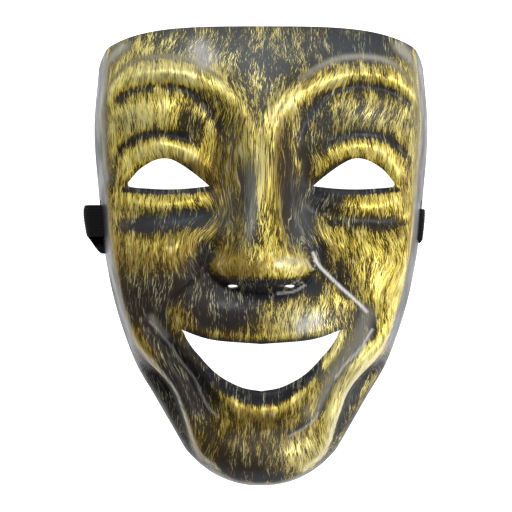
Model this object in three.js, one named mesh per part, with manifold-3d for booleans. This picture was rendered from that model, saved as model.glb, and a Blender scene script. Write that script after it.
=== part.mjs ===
import * as THREE from "three";
import Module from "manifold-3d";

const wasm = await Module();
wasm.setup();

// Overall sizes, in millimetres. The mask lies on its back: X across the face, Y towards the forehead,
// Z up and away from the face.
const sheet = 1.2;
const topOfHead = 115.5;
const topCurveDrop = 18.5;
const topRisePower = 1.3;
const topCornerPower = 0.606;
const topSidePower = 0.25;
const chinCornerX = 39.2;
const chinCornerY = -99.0;
const chinDrop = 18.9;
const chinPower = 2.25;
const chinEndPower = 0.95;
const middleRounding = 2.0;
const frontPower = 2.4;

// The rim lies on the table, but lifts towards the chin and arches over the strap, between these heights.
const chinLift = { height: 26, from: -38, to: -122 };
const strapArch = { height: 4, from: -30, full: 5, leave: 30, to: 65 };

// How round the meeting of the front and the side walls is: at the jaw, and what is added to it upwards.
const shoulderRound = {
  jaw: 2.6, cheekMore: 4.4, cheekFrom: -50, cheekTo: 20, topMore: 4, topFrom: 90, topTo: 112,
};

// The elastic and the slots it goes through. At each end the elastic's middle line leaves the slot at the
// height y, reaches so far beyond the rim, and slants down to lie under the mask. The lower and the upper
// edge of the fold fall short of its middle by their shares of that reach.
const strapWidth = 16.5;
const strapThickness = 1.2;
const strapLapLength = 22.0;
const strapEnds = [
  { side: -1, y: 18.4, beyond: 9.8, slant: 9.0, lowerShort: 0.24, upperShort: 0.14 },
  { side: 1, y: 16.3, beyond: 2.6, slant: 1.5, lowerShort: 0.75, upperShort: 0.1 },
];
const slotLength = 22.0;
const slotHeight = 3.0;
const slotMiddleY = 18.0;
const slotMiddleZ = 8.2;
const slotNearX = 70.0;
const slotFarX = 94.0;

// The elastic's way, measured inwards from the rim: where its flat stretch ends and the slant begins, the
// steps of the slant and of the bend, the points on the way back in from the slot, as the distance and the
// drop, and where the sewn lap begins.
const strapRoute = {
  flatTo: 12, slantFrom: 0.5, slantSteps: 4, slantLeast: 2, bendSteps: 8,
  wayIn: [[3, 0], [7, 0.8], [13, 3.6]],
  lapNear: 18, lapRise: 0.55, lapFrom: 21, lapSunk: 0.05, straightBy: 24,
};
const strapCrease = { line: 0.3, lowerPower: 1.6, upperPower: 8 };

// The holes through the front are cut between these heights.
const holeCutLow = 20.0;
const holeCutHigh = 100.0;

// Steps between the points of a carved line, and along the rim: on the line that is measured from, and on
// the mesh's own edge.
const lineSteps = 12;
const outlineTop = 122.0;
const outlineSteps = 160;
const chinCurveSteps = 24;
const topEdgeSteps = 16;
const sideEdgeSteps = 44;
const chinEdgeSteps = 12;

// How finely the carving is followed.
const carvingTolerance = 0.42;
const mostCorners = 960;
const probeStep = 1.5;
const tiltReach = 0.8;
const outwardReach = 1.6;
const middleStep = 6.0;
const middleMargin = 0.8;
const rimMargin = 1.1;
const mostRounds = 14;

// Half width of the rim at each height on the face.
const sideTable = [
  [-99, 39.2], [-90, 44.7], [-74, 54.5], [-57, 65], [-42, 71.2], [-27, 76], [-2, 81.1], [34, 85], [65, 87.5],
  [100, 85], [122, 83.5],
];

// How steeply the side walls rise from the rim.
const wallSlopeTable = [
  [-121, 9], [-112, 6], [-104, 3.8], [-98, 3], [-86, 2.6], [-76, 2.7], [-62, 3.1], [-53, 4.2], [-44, 6.5],
  [-30, 6.6], [0, 6.4], [30, 4.8], [50, 5], [68, 6.6], [90, 7], [117, 5.5],
];

// Height of the face along its middle, without the nose.
const middleTable = [
  [-121, 38], [-108, 48], [-95, 52], [-75, 54], [-45, 57], [-30, 58], [-15, 57], [10, 54], [35, 54], [60, 59],
  [80, 60], [100, 56], [117, 49],
];

// Where the front turns down into the side walls, across the face and in height.
const shoulderWidthTable = [
  [-121, 17], [-112, 24], [-105, 29.5], [-98, 33.8], [-92, 36.2], [-85, 38.4], [-78, 41], [-70, 44.2],
  [-65, 47.4], [-60, 51.8], [-54, 57.8], [-46, 64.8], [-38, 69], [-22, 72.5], [0, 75], [30, 76.5],
  [50, 77.5], [68, 81], [90, 81.5], [117, 78],
];
const shoulderHeightTable = [
  [-121, 32], [-100, 42], [-75, 45], [-45, 41], [-20, 38], [0, 37], [35, 34], [65, 37], [90, 39], [117, 34],
];

// Beside the chin the wall is a gentle panel, with a crisp step up to the fold. Its heights are reached over
// the share of the way in from the rim, and it comes and goes between these heights on the face.
const jawPanel = {
  from: -50, full: -61, fade: -93, end: -106,
  edge: 7.0, edgeShare: 0.1, slope: 8.0, step: 30.0, stepFrom: 0.93, stepTo: 1.13,
};

// Round hills (height above nil) and hollows (below nil): the middle, half widths, height, the section's
// power and how far it is turned.
const hills = [
  { name: "eye socket", x: 49, y: 40, rx: 27, ry: 15, height: -7, power: 2.6, turn: 0 },
  { name: "beside the nose", x: 23, y: 48, rx: 8, ry: 18, height: -2, power: 2.2, turn: 0 },
  { name: "under the brow", x: 33, y: 64, rx: 9, ry: 9, height: -3.2, power: 2.2, turn: 0 },
  { name: "lid", x: 54.5, y: 70.5, rx: 21, ry: 10, height: 4.6, power: 2.3, turn: -0.05 },
  { name: "upper lip", x: 0, y: -31, rx: 45, ry: 13.5, height: 6, power: 2.6, turn: 0 },
  { name: "chin", x: 0, y: -103, rx: 26, ry: 11, height: 5.4, power: 2.3, turn: 0 },
  { name: "under the lip", x: 0, y: -89.5, rx: 22, ry: 5.5, height: -1.9, power: 2.2, turn: 0 },
  { name: "corner of the mouth", x: 52, y: -33, rx: 5, ry: 8.5, height: -2.6, power: 2.2, turn: 0.25 },
  { name: "beside the nostril", x: 29.5, y: 3.5, rx: 3.6, ry: 5.5, height: -1.4, power: 2, turn: 0.2 },
];

// Each ridge (height above nil) or groove (below nil): its line on the right half, half width, height and
// the share of its length that fades at either end.
const strokes = {
  brow: {
    points: [[4, 56], [6, 63], [9.5, 71], [14, 78], [22, 84.5], [34, 89.5], [48, 91.8], [61, 90.6], [71, 86],
      [77.5, 78.5], [81, 69]],
    width: 6.8, height: 4.8, fadeIn: 0.22, fadeOut: 0.08, power: 2.3,
  },
  browGroove: {
    points: [[17.5, 50], [20, 61], [25, 71], [31, 78], [38, 82.8], [48, 85], [58, 84.6], [67, 82], [75, 76.5],
      [81, 70]],
    width: 3.2, height: -3.4, fadeIn: 0.35, fadeOut: 0.1, power: 1.7,
  },
  lidGroove: {
    points: [[32, 54.5], [37, 58.4], [43, 60.4], [50, 61.5], [58, 61], [65, 58.3], [71, 54], [76, 48]],
    width: 3.2, height: -3.2, fadeIn: 0.25, fadeOut: 0.2, power: 1.6,
  },
  upperLid: {
    points: [[21.5, 33.5], [26, 40], [31, 45.6], [37, 50.2], [44.5, 53], [52, 53.6], [59, 51.8], [65, 47.6],
      [69.5, 42], [71.5, 34.5]],
    width: 5.0, height: 4.8, fadeIn: 0.25, fadeOut: 0.12, power: 2.2,
  },
  lowerLid: {
    points: [[18, 31], [30, 28.4], [42, 27], [54, 26.8], [65, 28.4], [75, 33.5]],
    width: 4.8, height: 3.8, fadeIn: 0.3, fadeOut: 0.2, power: 2.2,
  },
  bagGroove: {
    points: [[20, 26], [29, 21.8], [38, 18.8], [50, 17], [62, 16.2], [75, 17]],
    width: 4.8, height: -2.4, fadeIn: 0.2, fadeOut: 0.2, power: 2,
  },
  noseEdge: {
    points: [[19.5, 62], [18, 50], [18, 38], [19.5, 26], [22.5, 15], [26.5, 4]],
    width: 2.4, height: 0.8, fadeIn: 0.2, fadeOut: 0.2, power: 2,
  },
  outerFold: {
    points: [[66, -24], [64.5, -34], [59, -44.5], [51.5, -52.4], [45.5, -59], [40.5, -68], [37, -77],
      [33.8, -86], [30, -94.5], [23, -103]],
    width: 4.6, height: 3.6, fadeIn: 0.25, fadeOut: 0.3, power: 2.2,
  },
};

// Creases: the line, the depth, how far the left and the right side of the line slope into it, the share of
// its length that fades at either end, and the section.
const creases = {
  laughLine: {
    points: [[18.5, 26], [20.5, 14], [23.5, 4.5], [27.5, -4.2], [30.5, -7], [35, -10.8], [40, -15.6],
      [45, -20.2], [50, -24.6], [54.5, -28.6]],
    depth: 4.4, leftWidth: 11, rightWidth: 2, fadeIn: 0.5, fadeOut: 0.22, power: 1.4,
  },
  lipValley: {
    points: [[57.5, -31], [55, -38.4], [50.5, -43.6], [45.6, -49.7], [39.8, -57], [35.4, -65], [32.2, -72.4],
      [28.5, -78.6], [23.7, -83.5], [14.6, -88.6]],
    depth: 2.8, leftWidth: 2, rightWidth: 7, fadeIn: 0.24, fadeOut: 0.35, power: 1.4,
  },
};

// The crisp upper edge of the cheek.
const cheekTable = [[18, 24], [25, 17.5], [33, 12.5], [43, 9.6], [55, 8.8], [67, 9.6], [80, 12]];

// The cheek's round hill, with the part of its height that the crisp edge takes over the given width.
const cheekHill = { x: 54, y: -5, rx: 25, ry: 21, power: 2.4, turn: -0.35, base: 1.5, height: 7.5, edge: 5 };

// The upper lip's roll, with the drop at the edge of the mouth, and the lower lip's, which moves out and
// grows broader towards the middle, with a hollow between it and the edge.
const upperRoll = { height: 0.9, out: 3, width: 1.8, drop: 2, dropWidth: 1.5, fadeFrom: 0.75 };
const lowerRoll = {
  height: 5, power: 2.2, fadeIn: 0.3, middleFrom: 0.45, middleTo: 0.95, out: 2.2, outSide: 1.3, outMiddle: 7,
  innerWidth: 2.6, innerMiddle: 2.9, outerWidth: 3, outerMiddle: 1.8, hollow: 2.5, hollowWidth: 5.5,
};

// The edges of the mouth and of the right eye.
const mouthTopPoints = [[0, -44], [24, -42], [37, -38], [41.5, -35.8]];
const mouthLowPoints = [
  [41.5, -35.8], [39, -38.5], [37, -42], [34, -46.5], [30.5, -50.5], [27, -54.5], [22.5, -58.8],
  [17, -62.5], [9, -66.2], [0, -67.8],
];
const eyePoints = [
  [26.2, 35.2], [30, 38.5], [35.5, 42.8], [41, 46.5], [46, 48.8], [51, 49], [56, 47.4], [61.5, 44],
  [65.5, 39.8], [67.5, 35.6], [56, 34.2], [46, 33.8], [36, 34.2], [26.2, 35.2],
];
const nostrilX = 14.2;
const nostrilY = -15.2;
const nostrilLength = 5.6;
const nostrilWidth = 1.8;
const nostrilSides = 10;

// The nose: height of the ridge, and the half widths of its top and of its foot.
const noseHeightTable = [
  [-24, 20], [-6, 20], [2, 20], [10, 18.5], [20, 16], [35, 13], [50, 11], [60, 9.3], [68, 6], [76, 2.4],
  [84, 0.5], [92, 0], [100, 0],
];
const noseTopTable = [[-20, 6], [0, 8], [8, 7], [15, 6], [25, 4.5], [35, 3.8], [50, 4.5], [60, 5.5], [80, 7]];
const noseFootTable = [
  [-20, 24], [0, 25], [10, 22.5], [20, 19.5], [35, 16.5], [50, 15], [60, 15.5], [80, 20],
];
const bulbHalfWidth = 27.5;
const bulbHeight = 23.5;
const bulbMiddleY = -3.5;
const bulbAbove = 27.0;
const bulbBelow = 16.0;
const bulbPower = 2.4;
const bulbSoftness = { below: 0.75, aboveMore: 1.35, from: -2, to: 12 };
const noseTip = { x: 0, y: -3, rx: 11, ry: 10, power: 2.4, height: 2.5 };
const noseEnd = { from: -16, full: -4 };
const noseRound = 8.0;

function clamp(value, low, high) {
  return Math.min(Math.max(value, low), high);
}

// Nil below the first value, one above the second, and smooth between.
function ramp(from, to, value) {
  const t = clamp((value - from) / (to - from), 0, 1);
  return t * t * (3 - 2 * t);
}

// A smooth curve through a table of pairs, held level beyond its ends.
function curve(table, at) {
  const last = table.length - 1;
  const v = clamp(at, table[0][0], table[last][0]);
  let i = 0;
  while (i < last - 1 && v > table[i + 1][0]) {
    i += 1;
  }
  const slopeAt = (k) => {
    if (k === 0 || k === last) {
      const j = k === 0 ? 1 : last;
      return (table[j][1] - table[j - 1][1]) / (table[j][0] - table[j - 1][0]);
    }
    const before = table[k][0] - table[k - 1][0];
    const after = table[k + 1][0] - table[k][0];
    const s0 = (table[k][1] - table[k - 1][1]) / before;
    const s1 = (table[k + 1][1] - table[k][1]) / after;
    return (after * s0 + before * s1) / (before + after);
  };
  const h = table[i + 1][0] - table[i][0];
  const s = (v - table[i][0]) / h;
  const s2 = s * s;
  const s3 = s2 * s;
  return (2 * s3 - 3 * s2 + 1) * table[i][1] + (s3 - 2 * s2 + s) * h * slopeAt(i)
    + (3 * s2 - 2 * s3) * table[i + 1][1] + (s3 - s2) * h * slopeAt(i + 1);
}

// A smooth line through points, with the given number of steps between each pair.
function smoothLine(points, steps) {
  const n = points.length;
  const mirrored = (a, b) => [2 * a[0] - b[0], 2 * a[1] - b[1]];
  const p = [mirrored(points[0], points[1]), ...points, mirrored(points[n - 1], points[n - 2])];
  const line = [];
  for (let i = 1; i < p.length - 2; i += 1) {
    for (let k = 0; k < steps; k += 1) {
      const t = k / steps;
      const at = [0, 1].map((axis) => {
        const [a, b, c, d] = [p[i - 1][axis], p[i][axis], p[i + 1][axis], p[i + 2][axis]];
        return 0.5 * (2 * b + (c - a) * t + (2 * a - 5 * b + 4 * c - d) * t * t
          + (3 * b - a - 3 * c + d) * t * t * t);
      });
      line.push(at);
    }
  }
  line.push(points[n - 1]);
  return line;
}

// A line with the running length at each of its points.
function measured(line) {
  const run = [0];
  for (let i = 1; i < line.length; i += 1) {
    run.push(run[i - 1] + Math.hypot(line[i][0] - line[i - 1][0], line[i][1] - line[i - 1][1]));
  }
  return { line, run, total: run[run.length - 1] };
}

// Distance from a point to a line, which side of it the point is on, and the share of the line there.
function nearest(x, y, path) {
  let best = Infinity;
  let left = 0;
  let share = 0;
  for (let i = 1; i < path.line.length; i += 1) {
    const [ax, ay] = path.line[i - 1];
    const dx = path.line[i][0] - ax;
    const dy = path.line[i][1] - ay;
    const length = path.run[i] - path.run[i - 1];
    const t = clamp(((x - ax) * dx + (y - ay) * dy) / (length * length), 0, 1);
    const qx = x - ax - t * dx;
    const qy = y - ay - t * dy;
    const distance = Math.hypot(qx, qy);
    if (distance < best) {
      best = distance;
      left = Math.sign(dx * qy - dy * qx);
      share = (path.run[i - 1] + t * length) / path.total;
    }
  }
  return { distance: best, left, share };
}

// The lower and the higher of two heights, with their meeting rounded off.
function lowerOf(a, b, round) {
  const h = clamp(0.5 + 0.5 * (b - a) / round, 0, 1);
  return b * (1 - h) + a * h - round * h * (1 - h);
}

function higherOf(a, b, round) {
  return -lowerOf(-a, -b, round);
}

// A bell's section: one in the middle, and falling off to both sides.
function bell(u, power = 2) {
  return Math.exp(-(Math.abs(u) ** power));
}

// A round hill of height one.
function hill(x, y, form) {
  const { rx, ry, power, turn = 0 } = form;
  const c = Math.cos(turn);
  const s = Math.sin(turn);
  const u = ((x - form.x) * c + (y - form.y) * s) / rx;
  const v = ((y - form.y) * c - (x - form.x) * s) / ry;
  return bell(u, power) * bell(v, power);
}

const pathThrough = (points) => measured(smoothLine(points, lineSteps));
const strokePaths = Object.values(strokes).map((s) => ({ ...s, path: pathThrough(s.points) }));
const creasePaths = Object.values(creases).map((c) => ({ ...c, path: pathThrough(c.points) }));
const mouthTopPath = pathThrough(mouthTopPoints);
const mouthLowPath = pathThrough(mouthLowPoints);

// How much of a line is left at a share of its length, where it fades at either end.
function fadeAt(line, share) {
  return ramp(0, line.fadeIn, share) * (1 - ramp(1 - line.fadeOut, 1, share));
}

// The upper lip's thin roll and the lower lip's broad one.
function lips(x, y) {
  const top = nearest(x, y, mouthTopPath);
  const edge = top.left > 0 ? top.distance : -top.distance;
  const crest = upperRoll.height * bell((edge - upperRoll.out) / upperRoll.width);
  const drop = upperRoll.drop * bell(Math.max(edge, 0) / upperRoll.dropWidth);
  const roll = (crest - drop) * (1 - ramp(upperRoll.fadeFrom, 1, top.share));
  const low = nearest(x, y, mouthLowPath);
  const begun = ramp(0, lowerRoll.fadeIn, low.share);
  const bottom = ramp(lowerRoll.middleFrom, lowerRoll.middleTo, low.share);
  const out = lowerRoll.out + lowerRoll.outSide * begun + lowerRoll.outMiddle * bottom;
  const innerWidth = lowerRoll.innerWidth + lowerRoll.innerMiddle * bottom;
  const outerWidth = lowerRoll.outerWidth + lowerRoll.outerMiddle * bottom;
  const width = low.distance < out ? innerWidth : outerWidth;
  const lip = lowerRoll.height * bell((low.distance - out) / width, lowerRoll.power) * begun;
  return roll + lip - lowerRoll.hollow * bell(low.distance / lowerRoll.hollowWidth) * bottom;
}

// The nose: a ridge that runs up between the brows, ending on a broad round bulb.
function nose(x, y) {
  const foot = curve(noseFootTable, y);
  const top = curve(noseTopTable, y);
  const across = clamp((x - top) / (foot - top), 0, 1);
  const ridge = curve(noseHeightTable, y) * (1 - ramp(0, 1, across)) * ramp(noseEnd.from, noseEnd.full, y);
  const reach = y > bulbMiddleY ? bulbAbove : bulbBelow;
  const u = Math.min(Math.hypot(x / bulbHalfWidth, (y - bulbMiddleY) / reach), 1);
  const above = ramp(bulbMiddleY + bulbSoftness.from, bulbMiddleY + bulbSoftness.to, y);
  const round = bulbHeight * (1 - u ** bulbPower) ** (bulbSoftness.below + bulbSoftness.aboveMore * above);
  const tip = noseTip.height * hill(x, y, noseTip);
  return higherOf(ridge, round + tip * (1 - u * u), noseRound);
}

// The cheek, with a crisp upper edge.
function cheek(x, y) {
  const slope = curve(cheekTable, x + 0.5) - curve(cheekTable, x - 0.5);
  const below = (curve(cheekTable, x) - y) / Math.hypot(1, slope);
  const height = cheekHill.base + cheekHill.height * ramp(-cheekHill.edge, cheekHill.edge, below);
  return height * hill(x, y, cheekHill);
}

// The carved front of the face, before the side walls cut it off.
function front(fromMiddle, y) {
  const x = Math.hypot(fromMiddle, middleRounding);
  const middle = curve(middleTable, y);
  const shoulder = curve(shoulderHeightTable, y);
  const width = curve(shoulderWidthTable, y);
  let z = middle - (middle - shoulder) * (x / width) ** frontPower;
  for (const h of hills) {
    z += h.height * hill(x, y, h);
  }
  z += cheek(x, y);
  for (const s of strokePaths) {
    const at = nearest(x, y, s.path);
    z += s.height * fadeAt(s, at.share) * bell(at.distance / s.width, s.power);
  }
  for (const c of creasePaths) {
    const at = nearest(x, y, c.path);
    const sideWidth = at.left > 0 ? c.leftWidth : c.rightWidth;
    z -= c.depth * fadeAt(c, at.share) * bell(at.distance / sideWidth, c.power);
  }
  return z + lips(x, y) + nose(x, y);
}

// A point of the chin's rim, from its corner (share 0) to the middle (share 1).
function chinPoint(share) {
  const x = share === 1 ? 0 : chinCornerX * Math.cos(Math.PI / 2 * share);
  return [x, chinCornerY - chinDrop * (1 - (x / chinCornerX) ** chinPower) ** chinEndPower];
}

// The rim at the sides and round the chin, on the right half, from the top down to the middle of the chin.
function sideOutline() {
  const line = [];
  for (let i = 0; i < outlineSteps; i += 1) {
    const y = outlineTop + (chinCornerY - outlineTop) * i / outlineSteps;
    line.push([curve(sideTable, y), y]);
  }
  for (let i = 0; i <= chinCurveSteps; i += 1) {
    line.push(chinPoint(i / chinCurveSteps));
  }
  return line;
}

const sidePath = measured(sideOutline());

// Height of the rim above the table: lifted towards the chin, and a low arch over the strap.
function rimHeight(y) {
  const arch = ramp(strapArch.from, strapArch.full, y) * (1 - ramp(strapArch.leave, strapArch.to, y));
  return chinLift.height * ramp(chinLift.from, chinLift.to, y) + strapArch.height * arch;
}

// Height of the side wall over a point of the footprint.
function wallHeight(x, y) {
  const edge = nearest(x, y, sidePath);
  const inside = edge.left < 0 ? edge.distance : -edge.distance;
  const steep = rimHeight(y) + curve(wallSlopeTable, y) * inside;
  const here = ramp(jawPanel.from, jawPanel.full, y) * (1 - ramp(jawPanel.fade, jawPanel.end, y));
  const rim = curve(sideTable, y);
  const share = (rim - x) / (rim - curve(shoulderWidthTable, y));
  const rise = jawPanel.edge * (1 - Math.exp(-Math.max(share, 0) / jawPanel.edgeShare));
  const step = jawPanel.step * ramp(jawPanel.stepFrom, jawPanel.stepTo, share);
  const gentle = rimHeight(y) + rise + jawPanel.slope * share + step;
  return steep + (gentle - steep) * here;
}

// Height of the outside of the mask over any point of its footprint.
function surface(x, y) {
  const ax = Math.abs(x);
  const r = shoulderRound;
  const more = r.cheekMore * ramp(r.cheekFrom, r.cheekTo, y) + r.topMore * ramp(r.topFrom, r.topTo, y);
  return lowerOf(front(ax, y), wallHeight(ax, y), r.jaw + more);
}

// The direction straight out of the sheet, taken over a patch so that it swings gently.
function outward(x, y) {
  const dx = (surface(x + outwardReach, y) - surface(x - outwardReach, y)) / (2 * outwardReach);
  const dy = (surface(x, y + outwardReach) - surface(x, y - outwardReach)) / (2 * outwardReach);
  const length = Math.hypot(dx, dy, 1);
  return [-dx / length, -dy / length, 1 / length];
}

// The edge of the right half, from the middle of the forehead round to the middle of the chin.
function halfOutline() {
  const points = [];
  for (let i = 0; i < topEdgeSteps; i += 1) {
    const turn = Math.PI / 2 * i / topEdgeSteps;
    const rise = Math.cos(turn) ** topRisePower;
    const y = topOfHead - topCurveDrop + topCurveDrop * rise;
    points.push([curve(sideTable, y) * (1 - rise ** (1 / topCornerPower)) ** topSidePower, y]);
  }
  const from = topOfHead - topCurveDrop;
  for (let i = 0; i < sideEdgeSteps; i += 1) {
    const y = from + (chinCornerY - from) * i / sideEdgeSteps;
    points.push([curve(sideTable, y), y]);
  }
  for (let i = 0; i <= chinEdgeSteps; i += 1) {
    points.push(chinPoint(i / chinEdgeSteps));
  }
  return points;
}

// Triangles over scattered points, none of which lies in the circle round any triangle.
class Triangles {
  constructor() {
    this.points = [[-4000, -3000], [4000, -3000], [0, 6000]];
    this.list = [];
    this.keep(0, 1, 2);
  }

  keep(a, b, c) {
    const [p, q, r] = [this.points[a], this.points[b], this.points[c]];
    const turn = (q[0] - p[0]) * (r[1] - p[1]) - (q[1] - p[1]) * (r[0] - p[0]);
    if (Math.abs(turn) < 1e-9) {
      return;
    }
    const pp = p[0] * p[0] + p[1] * p[1];
    const qq = q[0] * q[0] + q[1] * q[1];
    const rr = r[0] * r[0] + r[1] * r[1];
    const x = (pp * (q[1] - r[1]) + qq * (r[1] - p[1]) + rr * (p[1] - q[1])) / (2 * turn);
    const y = (pp * (r[0] - q[0]) + qq * (p[0] - r[0]) + rr * (q[0] - p[0])) / (2 * turn);
    const square = (p[0] - x) ** 2 + (p[1] - y) ** 2;
    this.list.push({ corners: turn > 0 ? [a, b, c] : [a, c, b], x, y, square });
  }

  add(x, y) {
    const index = this.points.length;
    this.points.push([x, y]);
    const edges = new Map();
    const rest = [];
    for (const t of this.list) {
      if ((x - t.x) ** 2 + (y - t.y) ** 2 < t.square - 1e-7) {
        for (let k = 0; k < 3; k += 1) {
          const a = t.corners[k];
          const b = t.corners[(k + 1) % 3];
          const back = `${b},${a}`;
          if (edges.has(back)) {
            edges.delete(back);
          } else {
            edges.set(`${a},${b}`, [a, b]);
          }
        }
      } else {
        rest.push(t);
      }
    }
    this.list = rest;
    for (const [a, b] of edges.values()) {
      this.keep(a, b, index);
    }
  }
}

// The half face as points and triangles, with more of them where the carving turns sharply.
function halfFace() {
  const outline = halfOutline();
  const net = new Triangles();
  for (const [x, y] of outline) {
    net.add(x, y);
  }
  const bottom = outline[outline.length - 1][1];
  for (let y = topOfHead - middleStep; y > bottom + 4; y -= middleStep) {
    net.add(0, y);
  }
  const probes = [];
  for (let j = 0; j * probeStep < topOfHead - bottom; j += 1) {
    for (let i = 0; i * probeStep < slotFarX; i += 1) {
      const x = i * probeStep;
      const y = bottom + 1 + j * probeStep;
      const margin = i === 0 ? middleMargin : rimMargin;
      if (insideBy(x, y, outline) > margin || (i === 0 && y < topOfHead - 2)) {
        const across = surface(x + tiltReach, y) - surface(x - tiltReach, y);
        const along = surface(x, y + tiltReach) - surface(x, y - tiltReach);
        probes.push({ x, y, z: surface(x, y), weight: 1 / Math.hypot(1, across, along), used: false });
      }
    }
  }
  const heights = new Map();
  const heightOf = (k) => {
    if (!heights.has(k)) {
      heights.set(k, surface(net.points[k][0], net.points[k][1]));
    }
    return heights.get(k);
  };
  for (let round = 0; round < mostRounds; round += 1) {
    const found = [];
    for (const t of net.list) {
      if (Math.min(...t.corners) < 3) {
        continue;
      }
      const worst = worstProbe(t, net.points, heightOf, probes);
      if (worst && worst.error > carvingTolerance) {
        found.push(worst);
      }
    }
    found.sort((a, b) => b.error - a.error);
    const room = mostCorners - net.points.length;
    const share = Math.max(Math.ceil(found.length * 0.5), 10);
    const chosen = found.slice(0, Math.min(room, share));
    for (const { probe } of chosen) {
      if (!probe.used) {
        probe.used = true;
        net.add(probe.x, probe.y);
      }
    }
    if (chosen.length === 0) {
      break;
    }
  }
  const triangles = net.list.map((t) => t.corners).filter((c) => Math.min(...c) > 2).filter((c) => {
    const x = (net.points[c[0]][0] + net.points[c[1]][0] + net.points[c[2]][0]) / 3;
    const y = (net.points[c[0]][1] + net.points[c[1]][1] + net.points[c[2]][1]) / 3;
    return insideBy(x, y, outline) > 0;
  });
  return {
    points: net.points.slice(3),
    triangles: triangles.map((c) => c.map((k) => k - 3)),
    rim: outline.map((_, k) => k),
  };
}

// How far inside the half outline a point lies; below nil outside it. The middle line is no edge.
function insideBy(x, y, outline) {
  let best = Infinity;
  let inside = false;
  const loop = [...outline, [-20, outline[outline.length - 1][1]], [-20, outline[0][1]]];
  for (let i = 0, j = loop.length - 1; i < loop.length; j = i, i += 1) {
    const [xi, yi] = loop[i];
    const [xj, yj] = loop[j];
    if ((yi > y) !== (yj > y) && x < (xj - xi) * (y - yi) / (yj - yi) + xi) {
      inside = !inside;
    }
    const dx = xj - xi;
    const dy = yj - yi;
    const t = clamp(((x - xi) * dx + (y - yi) * dy) / (dx * dx + dy * dy), 0, 1);
    best = Math.min(best, Math.hypot(x - xi - t * dx, y - yi - t * dy));
  }
  return inside ? best : -best;
}

// The probe in a triangle whose true height is furthest from the flat triangle.
function worstProbe(t, points, heightOf, probes) {
  const [a, b, c] = t.corners.map((k) => points[k]);
  const [za, zb, zc] = t.corners.map(heightOf);
  const area = (b[0] - a[0]) * (c[1] - a[1]) - (b[1] - a[1]) * (c[0] - a[0]);
  const low = Math.min(a[1], b[1], c[1]);
  const high = Math.max(a[1], b[1], c[1]);
  let worst = null;
  for (const probe of probes) {
    if (probe.used || probe.y < low || probe.y > high) {
      continue;
    }
    const u = ((b[0] - probe.x) * (c[1] - probe.y) - (b[1] - probe.y) * (c[0] - probe.x)) / area;
    const v = ((c[0] - probe.x) * (a[1] - probe.y) - (c[1] - probe.y) * (a[0] - probe.x)) / area;
    if (u < 0 || v < 0 || u + v > 1) {
      continue;
    }
    const error = Math.abs(probe.z - (u * za + v * zb + (1 - u - v) * zc)) * probe.weight;
    if (!worst || error > worst.error) {
      worst = { probe, error };
    }
  }
  return worst;
}

// The sheet: the outside, the inside one thickness behind it, and the cut edge that joins them.
function shellSolid() {
  const half = halfFace();
  const count = half.points.length;
  const onRim = new Set(half.rim);
  const outer = [];
  const inner = [];
  half.points.forEach(([x, y], k) => {
    const lying = onRim.has(k) && y <= topOfHead - topCurveDrop;
    const z = lying ? rimHeight(y) : surface(x, y);
    const n = outward(x, y);
    const back = [x - sheet * n[0], y - sheet * n[1], Math.max(z - sheet * n[2], 0)];
    if (x === 0) {
      back[0] = 0;
    }
    if (lying) {
      back[2] = z;
    }
    outer.push([x, y, z]);
    inner.push(back);
  });
  const places = [...outer, ...inner];
  const mirror = new Map();
  for (let k = 0; k < 2 * count; k += 1) {
    if (places[k][0] === 0) {
      mirror.set(k, k);
    } else {
      mirror.set(k, places.length);
      places.push([-places[k][0], places[k][1], places[k][2]]);
    }
  }
  const faces = [];
  const put = (a, b, c) => {
    faces.push([a, b, c]);
    faces.push([mirror.get(a), mirror.get(c), mirror.get(b)]);
  };
  for (const [a, b, c] of half.triangles) {
    put(a, b, c);
    put(a + count, c + count, b + count);
  }
  for (let i = 1; i < half.rim.length; i += 1) {
    const a = half.rim[i - 1];
    const b = half.rim[i];
    put(a, b, b + count);
    put(a, b + count, a + count);
  }
  return solidFrom(places, faces);
}

function solidFrom(places, faces) {
  return new wasm.Manifold(new wasm.Mesh({
    numProp: 3,
    vertProperties: new Float32Array(places.flat()),
    triVerts: new Uint32Array(faces.flat()),
  }));
}

// An upright prism over a closed line, used to cut a hole right through.
function prism(line, from, to) {
  let twiceArea = 0;
  line.forEach(([x, y], k) => {
    const [nx, ny] = line[(k + 1) % line.length];
    twiceArea += x * ny - nx * y;
  });
  const turned = twiceArea < 0 ? [...line].reverse() : line;
  const flat = turned.map(([x, y]) => new THREE.Vector2(x, y));
  const caps = THREE.ShapeUtils.triangulateShape(flat, []);
  const n = turned.length;
  const places = [...turned.map(([x, y]) => [x, y, from]), ...turned.map(([x, y]) => [x, y, to])];
  const faces = [];
  for (const [a, b, c] of caps) {
    faces.push([a, c, b]);
    faces.push([a + n, b + n, c + n]);
  }
  for (let k = 0; k < n; k += 1) {
    const next = (k + 1) % n;
    faces.push([k, next, next + n]);
    faces.push([k, next + n, k + n]);
  }
  return solidFrom(places, faces);
}

function mirroredLine(line) {
  return line.map(([x, y]) => [-x, y]);
}

function mouthLine() {
  const right = [...smoothLine(mouthTopPoints, 4), ...smoothLine(mouthLowPoints, 2).slice(1)];
  const left = mirroredLine(right).reverse().slice(1, -1);
  return [...right, ...left];
}

function nostrilLine() {
  const line = [];
  for (let k = 0; k < nostrilSides; k += 1) {
    const turn = 2 * Math.PI * k / nostrilSides;
    line.push([nostrilX + nostrilLength / 2 * Math.cos(turn), nostrilY + nostrilWidth / 2 * Math.sin(turn)]);
  }
  return line;
}

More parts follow.
